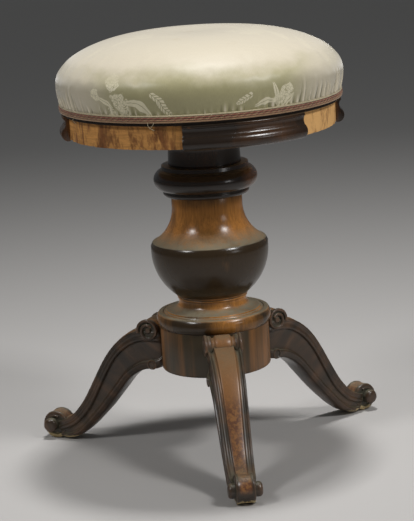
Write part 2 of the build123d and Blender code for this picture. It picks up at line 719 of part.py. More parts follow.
with BuildPart() as seat_rail:
    with BuildSketch(AXIAL):
        with BuildLine():
            Polyline(
                (BOARD_R + GLUE_FIT, BOARD_FOOT),
                (RAIL_R, BOARD_FOOT),
                (RAIL_R, RAIL_LIP),
                (LIP_R, RAIL_LIP),
                (LIP_R, RAIL_TOP),
                (RAIL_INNER_R, RAIL_TOP),
                (RAIL_INNER_R, BOARD_TOP),
                (BOARD_R + GLUE_FIT, BOARD_TOP),
                close=True,
            )
        make_face()
    revolve(axis=Axis.Z)
    drill_screws(RAIL_SCREWS, BOARD_FOOT, up=True)
    with PolarLocations(LIP_R - TACK_LENGTH, TACK_COUNT):
        with Locations(Location((0, 0, TACK_Z), (0, 90, 0))):
            Cylinder(TACK_SHANK_R + GLUE_FIT, TACK_LENGTH + TURNED_STEP, align=STAND, mode=Mode.SUBTRACT)
save(seat_rail, "seat_rail")

with BuildPart() as rail_screws:
    add_screws(RAIL_SCREWS, BOARD_FOOT, up=True)
save(rail_screws, "rail_screws")

for name, (start, end) in MOULDINGS.items():
    foot = BOARD_FOOT - MOULDING_DROP
    fillet_foot = RAIL_LIP - MOULDING_FILLET_H
    inner = RAIL_R + GLUE_FIT
    with BuildPart() as moulding:
        with BuildSketch(azimuth_plane(start)):
            with BuildLine():
                Polyline(
                    (MOULDING_FOOT_R, foot),
                    (inner, foot),
                    (inner, RAIL_LIP),
                    (MOULDING_FILLET_R, RAIL_LIP),
                    (MOULDING_FILLET_R, fillet_foot),
                    (MOULDING_FILLET_R - TURNED_STEP, fillet_foot),
                )
                Spline(
                    (MOULDING_FILLET_R - TURNED_STEP, fillet_foot),
                    (MOULDING_COVE_R, foot + MOULDING_COVE_H),
                    (MOULDING_BELLY_R, foot + MOULDING_BELLY_H),
                    (MOULDING_FOOT_R, foot),
                    tangents=[(-0.4, -1), (-1, -0.1)],
                )
            make_face()
        revolve(axis=Axis.Z, revolution_arc=end - start)
    save(moulding, name)


# ---------------------------------------------------------------- cushion
def crown(inset):
    """Half outline of the crown, drawn in by an inset, from the widest point to the top."""
    power = 2 / CROWN_FULLNESS
    angles = [radians(90 * i / CROWN_STEPS) for i in range(CROWN_STEPS)]
    radius = CUSHION_R - inset
    height = CROWN_H - inset
    points = [(radius * cos(a) ** power, WIDEST + height * sin(a) ** power) for a in angles]
    return points + [(0, WIDEST + height)]


def cushion_outline(inset):
    """Side and crown of the cushion above the rail, drawn in by an inset."""
    waist = HEM_R - inset
    Spline((waist, RAIL_TOP), (CUSHION_R - inset, WIDEST), tangents=[(0.5, 1), (0, 1)])
    Spline(*crown(inset))


with BuildPart() as seat_cover:
    with BuildSketch(AXIAL):
        with BuildLine():
            Polyline(
                (HEM_R - COVER_T, RAIL_TOP),
                (HEM_R - COVER_T, GIMP_FOOT),
                (HEM_R, GIMP_FOOT),
                (HEM_R, RAIL_TOP),
            )
            cushion_outline(0)
            Line((0, WIDEST + CROWN_H), (0, WIDEST + CROWN_H - COVER_T))
            cushion_outline(COVER_T)
        make_face()
    revolve(axis=Axis.Z)
    with PolarLocations(LIP_R, TACK_COUNT):
        with Locations(Location((0, 0, TACK_Z), (0, 90, 0))):
            Cylinder(TACK_SHANK_R + GLUE_FIT, 2 * COVER_T + TURNED_STEP, align=STAND, mode=Mode.SUBTRACT)
save(seat_cover, "seat_cover")

with BuildPart() as stuffing:
    inset = COVER_T + SOFT_FIT
    plug_r = RAIL_INNER_R - SOFT_FIT
    with BuildSketch(AXIAL):
        with BuildLine():
            Polyline(
                (0, WIDEST + CROWN_H - inset),
                (0, BOARD_TOP),
                (plug_r, BOARD_TOP),
                (plug_r, RAIL_TOP),
                (HEM_R - inset, RAIL_TOP),
            )
            cushion_outline(inset)
        make_face()
    revolve(axis=Axis.Z)
save(stuffing, "stuffing")

with BuildPart() as gimp_braid:
    rim = GIMP_INNER_R + GIMP_T - GIMP_GROOVE
    with BuildSketch(AXIAL):
        with BuildLine():
            Polyline((rim, GIMP_FOOT), (GIMP_INNER_R, GIMP_FOOT), (GIMP_INNER_R, GIMP_TOP), (rim, GIMP_TOP))
            ThreePointArc((rim, GIMP_TOP), (GIMP_INNER_R + GIMP_T, GIMP_TOP - GIMP_H / 4), (rim, TACK_Z))
            ThreePointArc((rim, TACK_Z), (GIMP_INNER_R + GIMP_T, GIMP_FOOT + GIMP_H / 4), (rim, GIMP_FOOT))
        make_face()
    revolve(axis=Axis.Z)
save(gimp_braid, "gimp_braid")

with BuildPart() as cover_tacks:
    with PolarLocations(HEM_R - TACK_LENGTH, TACK_COUNT):
        with Locations(Location((0, 0, TACK_Z), (0, 90, 0))):
            Cylinder(TACK_SHANK_R, TACK_LENGTH, align=STAND)
            with Locations((0, 0, TACK_LENGTH)):
                Cylinder(TACK_HEAD_R, TACK_HEAD_T, align=STAND)
save(cover_tacks, "cover_tacks")
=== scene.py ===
"""Looks of the revolving piano stool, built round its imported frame. Lengths are metres."""

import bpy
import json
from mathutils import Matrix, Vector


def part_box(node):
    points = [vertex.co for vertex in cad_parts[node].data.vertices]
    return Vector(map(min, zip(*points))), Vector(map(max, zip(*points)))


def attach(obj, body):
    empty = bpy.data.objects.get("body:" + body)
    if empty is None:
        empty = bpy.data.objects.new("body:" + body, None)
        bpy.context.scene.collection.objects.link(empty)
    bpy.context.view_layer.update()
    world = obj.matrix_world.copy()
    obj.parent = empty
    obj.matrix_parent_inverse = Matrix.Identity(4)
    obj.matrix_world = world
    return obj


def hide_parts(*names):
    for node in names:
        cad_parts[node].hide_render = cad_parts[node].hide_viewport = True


bl_info = {
    "name": "Revolving Piano Stool",
    "version": (1, 0, 0),
    "blender": (4, 5, 0),
    "location": "3D View > Sidebar > Piano Stool",
    "description": "Builds the visible pieces and finishes of a revolving piano stool",
    "category": "Add Mesh",
}

import json
from math import atan2, cos, degrees, hypot, pi, radians, sin
import random

import bmesh
import bpy
from mathutils import Matrix, Vector, noise

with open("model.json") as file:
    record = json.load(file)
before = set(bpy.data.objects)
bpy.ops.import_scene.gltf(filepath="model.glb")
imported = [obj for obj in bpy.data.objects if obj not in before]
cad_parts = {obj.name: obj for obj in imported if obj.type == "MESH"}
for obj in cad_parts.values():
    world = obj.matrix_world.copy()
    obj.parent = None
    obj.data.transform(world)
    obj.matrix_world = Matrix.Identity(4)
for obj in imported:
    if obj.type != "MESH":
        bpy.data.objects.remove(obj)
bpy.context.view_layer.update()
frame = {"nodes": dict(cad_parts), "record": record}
MM = 0.001
FUSE = 0.01 * MM  # nearer points are one point


# ---------------------------------------------------------------- places in the frame
def low(node):
    """Height of a node's lowest point."""
    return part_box(node)[0].z


def high(node):
    """Height of a node's highest point."""
    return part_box(node)[1].z


def reach(node):
    """Largest distance of a node from the stool's axis."""
    return max(hypot(v.co.x, v.co.y) for v in frame["nodes"][node].data.vertices)


DRUM_FOOT = low("drum")
DRUM_TOP = high("drum")
DRUM_R = reach("drum")
CAP_FOOT = low("column_cap")
CAP_TOP = high("column_cap")
BOARD_FOOT = low("seat_board")
BOARD_TOP = high("seat_board")
RAIL_TOP = high("seat_rail")
LIP_R = reach("seat_rail")
SEAT_TOP = high("seat_cover")
SEAT_R = reach("seat_cover")
GIMP_FOOT = low("gimp_braid")
GIMP_TOP = high("gimp_braid")
GIMP_R = reach("gimp_braid")
LEGS = {"leg_front": -84.2, "leg_right": 35.8, "leg_left": 155.8}  # azimuths in degrees


# ---------------------------------------------------------------- sizes and colours
def length(name, default, description):
    """A length property in metres."""
    return bpy.props.FloatProperty(
        name=name, description=description, default=default, min=0, subtype="DISTANCE", unit="LENGTH"
    )


def colour(name, default, description):
    """A linear colour property."""
    return bpy.props.FloatVectorProperty(
        name=name, description=description, default=default, size=3, min=0, max=1, subtype="COLOR"
    )


class StoolSizes(bpy.types.PropertyGroup):
    """Sizes of the visible pieces."""

    worn_edge: length("Worn edge", 0.5 * MM, "Rounding of a turned edge")
    cord_r: length("Gimp cord", 1.0 * MM, "Radius of the gimp's plain cords")
    twist: length("Gimp twist", 8 * MM, "Length of one turn of the gimp's twisted strands")
    pleat: length("Pleat", 6.0 * MM, "Height of the gathers above the gimp")
    repeat: length("Damask repeat", 180 * MM, "Width of one repeat of the damask")
    floor_size: length("Floor", 14.0, "Side of the floor")


class StoolColours(bpy.types.PropertyGroup):
    """Colours of the finishes."""

    walnut_light: colour("Walnut, light", (0.62, 0.26, 0.055), "Light figure of the column")
    walnut_dark: colour("Walnut, dark", (0.036, 0.022, 0.010), "Dark figure of the column")
    drum_light: colour("Drum, light", (0.30, 0.125, 0.035), "Light streaks of the drum")
    drum_dark: colour("Drum, dark", (0.046, 0.032, 0.015), "Dark streaks of the drum")
    leg_light: colour("Legs, light", (0.15, 0.075, 0.036), "Worn wood on the legs")
    leg_dark: colour("Legs, dark", (0.030, 0.021, 0.0135), "Old polish on the legs")
    # Also colours the rail's lip under the gimp, partly as stain and partly as painted shadow.
    black_polish_and_lip_shade: colour("Dark polish", (0.019, 0.0115, 0.007), "Mouldings, cap and boss")
    # Also raised on the right side of the cap and boss, partly as painted light.
    rubbed_polish: colour("Rubbed polish", (0.16, 0.062, 0.018), "Wood where the dark polish is rubbed")
    band_wood: colour("Leg bands", (0.32, 0.145, 0.048), "Rubbed band down the front of each leg")
    band_red: colour("Leg bands, red", (0.11, 0.040, 0.024), "Stained lower half of the bands")
    loss: colour("Losses", (0.52, 0.40, 0.19), "Chalky ground where the feet are chipped")
    bare_light: colour("Bare rail, light", (0.62, 0.30, 0.085), "Rail where a moulding is missing")
    bare_clean: colour("Bare rail, clean", (0.70, 0.40, 0.15), "Rail where no glue is left")
    bare_dark: colour("Bare rail, dark", (0.10, 0.040, 0.013), "Old glue on the bare rail")
    dust: colour("Dust", (0.25, 0.215, 0.145), "Dust on upward faces and in hollows")
    leg_dust: colour("Leg dust", (0.20, 0.195, 0.135), "Grey-green dust in the carving")
    silk: colour("Silk ground", (0.35, 0.32, 0.175), "Ground of the damask")
    # Lighter silk: on the crown partly faded and partly painted sheen, on the left and right sides painted
    # reflection of the lamps, on the pleat ridges painted highlight.
    silk_faded_and_lit: colour("Faded silk", (0.55, 0.49, 0.375), "Silk faded on the crown")
    silk_motif: colour("Silk motif", (0.72, 0.66, 0.47), "Motifs of the damask")
    cord_cream: colour("Cream cord", (0.55, 0.47, 0.30), "Cream cords of the gimp")
    cord_red: colour("Red cord", (0.27, 0.095, 0.060), "Red strands of the gimp")
    cord_tan: colour("Tan cord", (0.36, 0.215, 0.115), "Tan strands of the gimp")
    pine_light: colour("Pine, light", (0.50, 0.33, 0.17), "Board under the cushion")
    pine_dark: colour("Pine, dark", (0.30, 0.17, 0.075), "Board's growth rings")
    beech_light: colour("Beech, light", (0.52, 0.38, 0.24), "Dowels and wedge")
    beech_dark: colour("Beech, dark", (0.38, 0.25, 0.15), "Dowels and wedge, figure")
    floor: colour("Floor", (0.46, 0.445, 0.43), "Studio floor")


# ---------------------------------------------------------------- modelling by hand
def clear_selection():
    """Leave edit mode and select nothing."""
    if bpy.context.object and bpy.context.object.mode != "OBJECT":
        bpy.ops.object.mode_set(mode="OBJECT")
    bpy.ops.object.select_all(action="DESELECT")


def choose(piece):
    """Make a piece the only selected and the active one."""
    clear_selection()
    piece.select_set(True)
    bpy.context.view_layer.objects.active = piece


def start_point(name, place):
    """A new piece in edit mode, with one selected vertex."""
    clear_selection()
    bpy.ops.mesh.primitive_plane_add(size=MM)
    piece = bpy.context.object
    piece.name = name
    bpy.ops.object.mode_set(mode="EDIT")
    bpy.ops.mesh.merge(type="CENTER")
    bpy.ops.transform.translate(value=place)
    return piece


def draw_line(places):
    """Extrude the selected vertex from the first place along the others."""
    for here, there in zip(places, places[1:]):
        bpy.ops.mesh.extrude_region_move(TRANSFORM_OT_translate={"value": Vector(there) - Vector(here)})


def edited(piece):
    """A piece's mesh in edit mode, with its vertices ready to be looked up."""
    mesh = bmesh.from_edit_mesh(piece.data)
    mesh.verts.ensure_lookup_table()
    return mesh


def keep_selection(piece, mesh):
    """Carry the vertices' selection over to the edges and faces."""
    mesh.select_flush_mode()
    bmesh.update_edit_mesh(piece.data)


def pick(piece, test):
    """Select just the vertices whose place passes a test, in edit mode."""
    mesh = edited(piece)
    for vertex in mesh.verts:
        vertex.select = test(vertex.co)
    keep_selection(piece, mesh)


def merge_doubles():
    """Merge all doubles, and leave the whole mesh selected."""
    bpy.ops.mesh.select_all(action="SELECT")
    bpy.ops.mesh.remove_doubles(threshold=FUSE)
    bpy.ops.mesh.select_all(action="SELECT")


def mend_mesh():
    """Merge doubles and turn all faces outwards."""
    merge_doubles()
    bpy.ops.mesh.normals_make_consistent(inside=False)


def turned(name, outline, steps=160, start=0.0, sweep=360.0):
    """A piece turned on the axis from an outline of (radius, height), over a sweep in degrees."""
    out = Vector((cos(radians(start)), sin(radians(start)), 0))
    places = [out * r + Vector((0, 0, z)) for r, z in outline]
    whole = sweep == 360.0
    closed = outline[0][0] > 0 or outline[-1][0] > 0
    piece = start_point(name, places[0])
    draw_line(places + places[:1] if closed else places)
    merge_doubles()
    if not whole:
        bpy.ops.mesh.edge_face_add()
        bpy.ops.mesh.select_all(action="SELECT")
    bpy.ops.mesh.spin(steps=steps, angle=-radians(sweep), center=(0, 0, 0), axis=(0, 0, 1))
    mend_mesh()
    bpy.ops.object.mode_set(mode="OBJECT")
    return piece


def apply_modifier(piece, kind, **settings):
    """Add one modifier to a piece and apply it."""
    choose(piece)
    made = piece.modifiers.new(kind.lower(), kind)
    for key, value in settings.items():
        setattr(made, key, value)
    bpy.ops.object.modifier_apply(modifier=made.name)


def wear_edges(piece, width):
    """Round the sharp edges of a turned piece."""
    apply_modifier(piece, "BEVEL", width=width, segments=2, limit_method="ANGLE", angle_limit=radians(28))


def bow(start, middle, end, steps):
    """Points after the start, on the circle through three (radius, height) points."""
    (ax, ay), (bx, by), (cx, cy) = start, middle, end
    d = 2 * (ax * (by - cy) + bx * (cy - ay) + cx * (ay - by))
    a, b, c = ax * ax + ay * ay, bx * bx + by * by, cx * cx + cy * cy
    mx = (a * (by - cy) + b * (cy - ay) + c * (ay - by)) / d
    my = (a * (cx - bx) + b * (ax - cx) + c * (bx - ax)) / d
    radius = hypot(ax - mx, ay - my)
    first = atan2(ay - my, ax - mx)
    way = 1 if (bx - ax) * (cy - ay) - (by - ay) * (cx - ax) > 0 else -1
    turn = (way * (atan2(cy - my, cx - mx) - first)) % (2 * pi)
    angles = [first + way * turn * (i + 1) / steps for i in range(steps)]
    return [(mx + radius * cos(t), my + radius * sin(t)) for t in angles]


def flow(start, lead, trail, end, steps):
    """Points after the start, on a curve that leaves along lead and arrives along trail."""
    points = []
    leaving = (start[0] + lead[0], start[1] + lead[1])
    arriving = (end[0] - trail[0], end[1] - trail[1])
    corners = (start, leaving, arriving, end)
    for i in range(1, steps + 1):
        t = i / steps
        weights = ((1 - t) ** 3, 3 * t * (1 - t) ** 2, 3 * t * t * (1 - t), t**3)
        points.append(tuple(sum(w * c[k] for w, c in zip(weights, corners)) for k in (0, 1)))
    return points


def in_metres(points, base=0.0):
    """Points given in millimetres, lifted to a base height in metres."""
    return [(r * MM, base + z * MM) for r, z in points]


def finish_piece(piece, material, body, stands_for=(), smooth=32):
    """Close a new piece: smooth it, give it its finish and let it ride on its body."""
    choose(piece)
    bpy.ops.object.transform_apply(location=True, rotation=True, scale=True)
    bpy.ops.object.shade_smooth_by_angle(angle=radians(smooth))
    piece.data.materials.clear()
    piece.data.materials.append(material)
    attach(piece, body)
    if stands_for:
        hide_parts(*stands_for)
    return piece


def tube(name, places, radius, closed=False, sides=6):
    """A round tube along places, as a mesh."""
    clear_selection()
    curve = bpy.data.curves.new(name, "CURVE")
    curve.dimensions = "3D"
    curve.bevel_depth = radius
    curve.bevel_resolution = max(0, sides // 2 - 2)
    curve.use_fill_caps = not closed
    line = curve.splines.new("POLY")
    line.points.add(len(places) - 1)
    for point, place in zip(line.points, places):
        point.co = (*place, 1)
    line.use_cyclic_u = closed
    piece = bpy.data.objects.new(name, curve)
    bpy.context.scene.collection.objects.link(piece)
    choose(piece)
    bpy.ops.object.convert(target="MESH")
    piece = bpy.context.object
    piece.name = name
    return piece


def join(pieces, name):
    """Join pieces into the first one."""
    clear_selection()
    for piece in pieces:
        piece.select_set(True)
    bpy.context.view_layer.objects.active = pieces[0]
    bpy.ops.object.join()
    piece = bpy.context.object
    piece.name = name
    return piece


# ---------------------------------------------------------------- finishes
class Finish:
    """A node finish, written as short calls that each return a socket."""

    def __init__(self, name, **sockets):
        self.material = bpy.data.materials.new(name)
        self.material.use_nodes = True
        self.nodes = self.material.node_tree.nodes
        self.links = self.material.node_tree.links
        self.shader = self.nodes["Principled BSDF"]
        for key, value in sockets.items():
            self.feed(self.shader.inputs[key.replace("_", " ")], value)

    def feed(self, socket, value):
        """Link a socket, or set its value."""
        if isinstance(value, bpy.types.NodeSocket):
            self.links.new(value, socket)
        elif socket.type == "RGBA":
            socket.default_value = (*value[:3], 1)
        else:
            socket.default_value = value

    def add(self, kind, inputs, output=0, **settings):
        """A node with its inputs; returns one of its outputs."""
        made = self.nodes.new("ShaderNode" + kind)
        for key, value in settings.items():
            setattr(made, key, value)
        for key, value in inputs.items():
            self.feed(made.inputs[key], value)
        return made.outputs[output]

    def math(self, operation, *values):
        """One step of arithmetic."""
        return self.add("Math", dict(enumerate(values)), operation=operation)

    def times(self, a, b):
        """Product."""
        return self.math("MULTIPLY", a, b)

    def plus(self, a, b):
        """Sum."""
        return self.math("ADD", a, b)

    def less(self, a, b):
        """Difference."""
        return self.math("SUBTRACT", a, b)

    def place(self, attribute=None):
        """The piece's own coordinates, or an attribute that holds a place."""
        if attribute:
            return self.add("Attribute", {}, "Vector", attribute_name=attribute)
        return self.add("TexCoord", {}, "Object")

    def axis(self, letter, attribute=None):
        """One coordinate of a place."""
        return self.add("SeparateXYZ", {"Vector": self.place(attribute)}, letter)

    def space(self, scale=(1, 1, 1), turn=(0, 0, 0), attribute=None):
        """A place, scaled, so that a large scale is a fine pattern."""
        source = self.place(attribute)
        if any(turn):
            source = self.add("Mapping", {"Vector": source, "Rotation": turn})
        return self.add("Mapping", {"Vector": source, "Scale": scale})

    def noise(self, vector, scale=1.0, detail=3.0, rough=0.5, distortion=0.0):
        """Cloudy noise between 0 and 1."""
        inputs = {"Vector": vector, "Scale": scale, "Detail": detail}
        inputs |= {"Roughness": rough, "Distortion": distortion}
        return self.add("TexNoise", inputs, "Fac")

    def ease(self, value, start, end, low_to=0.0, high_to=1.0):
        """Smooth step of a value."""
        inputs = {"Value": value, "From Min": start, "From Max": end, "To Min": low_to, "To Max": high_to}
        return self.add("MapRange", inputs, interpolation_type="SMOOTHSTEP")

    def mix(self, share, a, b, blend="MIX"):
        """Mix of two colours."""
        inputs = {0: share, 6: a, 7: b}
        return self.add("Mix", inputs, 2, data_type="RGBA", blend_type=blend)

    def bump(self, height, strength, distance, under=None):
        """Normal of a fine relief."""
        inputs = {"Height": height, "Strength": strength, "Distance": distance}
        if under:
            inputs["Normal"] = under
        return self.add("Bump", inputs)

    def upward(self, start, end):
        """How far a face looks up."""
        normal = self.add("NewGeometry", {}, "Normal")
        return self.ease(self.add("SeparateXYZ", {"Vector": normal}, "Z"), start, end)

    def hollows(self, distance, start, end):
        """Where the piece shades itself, as in carved hollows."""
        light = self.add("AmbientOcclusion", {"Distance": distance}, "AO", samples=6, only_local=True)
        return self.ease(light, start, end, 1.0, 0.0)

    def arrises(self, start, end):
        """Where the surface is sharply convex."""
        return self.ease(self.add("NewGeometry", {}, "Pointiness"), start, end)

    def wear(self, colour, roughness, normal=None):
        """Give the shader its colour, roughness and relief."""
        self.feed(self.shader.inputs["Base Color"], colour)
        self.feed(self.shader.inputs["Roughness"], roughness)
        if normal:
            self.feed(self.shader.inputs["Normal"], normal)
        return self.material


def scaled(rgb, share):
    """A colour made lighter or darker."""
    return tuple(min(1.0, c * share) for c in rgb)


def wood(name, light, dark, dust_colour, **look):
    """Old polished wood: figure, fibre, pores, dust, grime in hollows and worn arrises."""
    look = {
        "figure": (22, 22, 2.2),
        "balance": (0.38, 0.66),
        "turn": (0, 0, 0),
        "attribute": None,
        "gloss": 0.28,
        "dust": 0.5,
        "dust_face": (0.55, 0.95),
        "grime": 0.6,
        "murk": 0.36,
        "arris": 0.35,
        "rub": (0.535, 0.575),
        "specular": 0.5,
        "fibre": 0.30,
        "shade": None,
        "tint": None,
    } | look
    finish = Finish(name, Specular_IOR_Level=look["specular"])
    space = {"turn": look["turn"], "attribute": look["attribute"]}
    figure = finish.noise(finish.space(look["figure"], **space), 1.0, 4, 0.55, 0.6)
    patches = finish.noise(finish.space((9, 9, 9), **space), 1.0, 2)
    fibre = finish.noise(finish.space((520, 520, 16), **space), 1.0, 3, 0.6)
    pores = finish.noise(finish.space((1100, 1100, 60), **space), 1.0, 2, 0.5)
    tone = finish.plus(finish.times(figure, 0.72), finish.times(patches, 0.28))
    # A shift of tone by place: it darkens the column's bulb and paints shade under the cap, and lightens the
    # right of the cap and boss, partly as painted light.
    if look["shade"]:
        tone = finish.less(tone, look["shade"](finish))
    colour_now = finish.mix(finish.ease(tone, *look["balance"]), dark, light)
    if look["tint"]:
        colour_now = look["tint"](finish, colour_now)
    colour_now = finish.mix(finish.ease(fibre, 0.35, 0.7, look["fibre"], 0.0), colour_now, scaled(dark, 0.8))
    pore = finish.ease(pores, 0.60, 0.72)
    colour_now = finish.mix(finish.times(pore, 0.5), colour_now, scaled(dark, 0.4))
    worn = finish.times(finish.arrises(*look["rub"]), finish.ease(patches, 0.3, 0.6, 0.4, 1.0))
    colour_now = finish.mix(finish.times(worn, look["arris"]), colour_now, scaled(light, 1.5))
    speckle = finish.noise(finish.space((160, 160, 160)), 1.0, 5, 0.65)
    settled = finish.times(finish.upward(*look["dust_face"]), finish.ease(speckle, 0.25, 0.6, 0.5, 1.0))
    settled = finish.times(settled, look["dust"])
    caught = finish.times(finish.hollows(0.014, 0.35, 0.85), finish.ease(speckle, 0.3, 0.6, 0.55, 1.0))
    caught = finish.times(caught, look["grime"])
    colour_now = finish.mix(caught, colour_now, scaled(dust_colour, look["murk"]))
    colour_now = finish.mix(settled, colour_now, dust_colour)
    veil = finish.math("MAXIMUM", settled, caught)
    gloss = finish.ease(patches, 0.3, 0.7, look["gloss"] * 0.85, look["gloss"] * 1.3)
    roughness = finish.plus(gloss, finish.times(veil, 0.5))
    relief = finish.plus(fibre, finish.times(pore, -1.2))
    return finish.wear(colour_now, roughness, finish.bump(relief, 0.12, 0.3 * MM))


def plain(name, rgb, roughness=0.5):
    """Even finish, for the studio floor."""
    return Finish(name, Base_Color=rgb, Roughness=roughness).material


# ---------------------------------------------------------------- stage
CAMERA_PLACE = Vector((0.0, -2.5804, 0.7944))
CAMERA_YAW = radians(0.095)
CAMERA_PITCH = radians(12.148)
CAMERA_ROLL = radians(-3.544)
SENSOR = 36.0  # millimetres, along the picture's long side
FOCAL_PIXELS = 2150.0
PICTURE_HEIGHT = 521
CAMERA_FAR = 50
LAMP_AIM = Vector((0, 0, 0.3))
LAMPS = {  # place, side of the lamp, power in watts, spread of its beam in degrees
    "left_lamp": ((-1.65, -1.15, 2.1), 0.50, 5.2, 90),
    "right_lamp": ((1.65, -1.25, 2.1), 0.50, 8.2, 90),
    "top_lamp": ((0.15, 0.27, 2.8), 0.30, 11.4, 90),
    "low_lamp": ((1.70, -1.40, 0.75), 0.45, 1.0, 120),
}
STUDIO_AIR = (0.95, 0.98, 1.0, 1)
STUDIO_FILL = 0.12


class STOOL_OT_stage(bpy.types.Operator):
    """Camera, floor and soft studio light"""

    bl_idname = "stool.stage"
    bl_label = "Stage"

    def execute(self, context):
        scene = context.scene
        clear_selection()
        bpy.ops.object.camera_add(location=CAMERA_PLACE)
        camera = context.object
        turn = Matrix.Rotation(CAMERA_YAW, 4, "Z") @ Matrix.Rotation(pi / 2 - CAMERA_PITCH, 4, "X")
        camera.matrix_world = Matrix.Translation(CAMERA_PLACE) @ turn @ Matrix.Rotation(CAMERA_ROLL, 4, "Z")
        camera.data.sensor_width = SENSOR
        camera.data.lens = FOCAL_PIXELS * SENSOR / PICTURE_HEIGHT
        camera.data.clip_end = CAMERA_FAR
        scene.camera = camera
        scene.view_settings.view_transform = "Standard"
        bpy.ops.mesh.primitive_plane_add(size=scene.stool_sizes.floor_size)
        floor = context.object
        floor.name = "floor"
        floor.data.materials.append(plain("floor_paper", scene.stool_colours.floor, 0.8))
        for name, (place, size, power, spread) in LAMPS.items():
            bpy.ops.object.light_add(type="AREA", location=place)
            lamp = context.object
            lamp.name = name
            lamp.data.size = size
            lamp.data.energy = power
            lamp.data.spread = radians(spread)
            aim = LAMP_AIM - Vector(place)
            lamp.rotation_euler = aim.to_track_quat("-Z", "Y").to_euler()
        world = bpy.data.worlds.new("studio")
        scene.world = world
        world.use_nodes = True
        world.node_tree.nodes["Background"].inputs["Color"].default_value = STUDIO_AIR
        world.node_tree.nodes["Background"].inputs["Strength"].default_value = STUDIO_FILL
        return {"FINISHED"}


# ---------------------------------------------------------------- column, drum, cap and boss
def column_outline():
    """Half outline of the column, from the foot of its tenon to the bore under the nut."""
    tenon_r, shy = 21.0, 1.4
    flange_r, flange_nip, flange_h = 70.7, 3.2, 17.4
    bulb_foot, bulb_top, rim_top, shoulder = 39.0, 96.0, 101.0, 105.4  # above the drum
    slim, top = 147.4, (CAP_FOOT - DRUM_TOP) / MM
    foot = (DRUM_FOOT - DRUM_TOP) / MM + shy
    line = [(0, foot), (tenon_r, foot), (tenon_r, 0.02), (flange_r - flange_nip, 0.02)]
    line += bow(line[-1], (flange_r, flange_h / 2), (flange_r - flange_nip, flange_h), 12)
    line += [(62.4, flange_h + 0.5), (61.6, flange_h - 0.4), (60.6, flange_h - 0.4), (60.0, flange_h + 0.9)]
    line += [(58.4, flange_h + 1.3), (58.0, flange_h + 3.0), (56.5, flange_h + 3.3)]
    line += flow(line[-1], (-11, 0.4), (0, 6), (41.5, 31.6), 12)
    line += [(41.5, 33.8)]
    line += bow(line[-1], (43.0, 35.1), (41.6, 36.4), 6)
    line += [(43.6, 37.2), (44.3, 37.8), (44.3, bulb_foot)]
    line += bow(line[-1], (66.3, bulb_foot + 28), (71.9, bulb_top), 20)
    line += [(71.9, rim_top), (69.6, shoulder)]
    line += flow(line[-1], (-13, 5), (0, 20), (43.4, slim), 18)
    line += [(43.4, top), (30.0, top), (30.0, top + 10), (19.1, top + 10), (19.1, top), (17.0, top)]
    line += [(17.0, 29.0), (0, 29.0)]
    return in_metres(line, DRUM_TOP)


def cap_outline():
    """Half outline of the cap with its seat for the nut, above the column."""
    height = (CAP_TOP - CAP_FOOT) / MM
    line = [(30.1, 0), (46.0, 0)]
    line += bow(line[-1], (52.7, 3.2), (51.5, 6.0), 8)
    line += bow(line[-1], (63.3, 19.0), (53.0, 32.0), 22)
    line += [(53.0, height), (30.05, height), (30.05, height - 4), (19.1, height - 4)]
    line += [(19.1, 10), (30.1, 10)]
    return in_metres(line, CAP_FOOT)


def boss_outline():
    """Half outline of the boss under the seat, above the cap."""
    height = (BOARD_FOOT - CAP_TOP) / MM
    line = [(13.3, 0.02), (44.5, 0.02), (44.2, 4.0), (43.7, 19.0)]
    line += flow(line[-1], (0, 9), (6, 1.8), (59.0, height - 6), 14)
    line += [(59.0, height - 0.02), (32.1, height - 0.02), (32.1, height - 4), (13.3, height - 4)]
    return in_metres(line, CAP_TOP)


def drum_outline():
    """Half outline of the drum, a ring round the column's tenon."""
    edge = 3.0
    radius, height = DRUM_R / MM, (DRUM_TOP - DRUM_FOOT) / MM
    line = [(21.05, 0), (radius - edge, 0)]
    line += bow(line[-1], (radius - 0.29 * edge, 0.29 * edge), (radius, edge), 5)
    line += [(radius, height), (21.05, height)]
    return in_metres(line, DRUM_FOOT)


def column_tone_and_neck_shade(finish):
    """The column's bulb is darker than its necks, most of all below its rim, and the flange's torus a
    little; painted shade darkens the top of the upper neck, under the cap.
    """
    height = finish.axis("Z")
    foot, rim = DRUM_TOP + 37 * MM, DRUM_TOP + 105 * MM
    inside = finish.times(finish.ease(height, foot, foot + 5 * MM), finish.ease(height, rim + 2 * MM, rim))
    ends = finish.plus(
        # Painted shade: the top of the upper neck, under the cap, is darkened.
        finish.ease(height, rim + 40 * MM, rim + 58 * MM, 0.0, 0.09),
        finish.ease(height, DRUM_TOP + 18 * MM, DRUM_TOP + 15 * MM, 0.0, 0.12),
    )
    return finish.plus(finish.times(inside, 0.26), ends)


def cap_rubbed_and_lit_side(finish):
    """The cap and boss turn brown towards their right side, partly as rubbed polish and partly as painted
    light where the stronger right lamp falls; elsewhere they are a little darker.
    """
    side = finish.axis("X")
    return finish.ease(side, 35 * MM, 58 * MM, 0.10, -0.22)


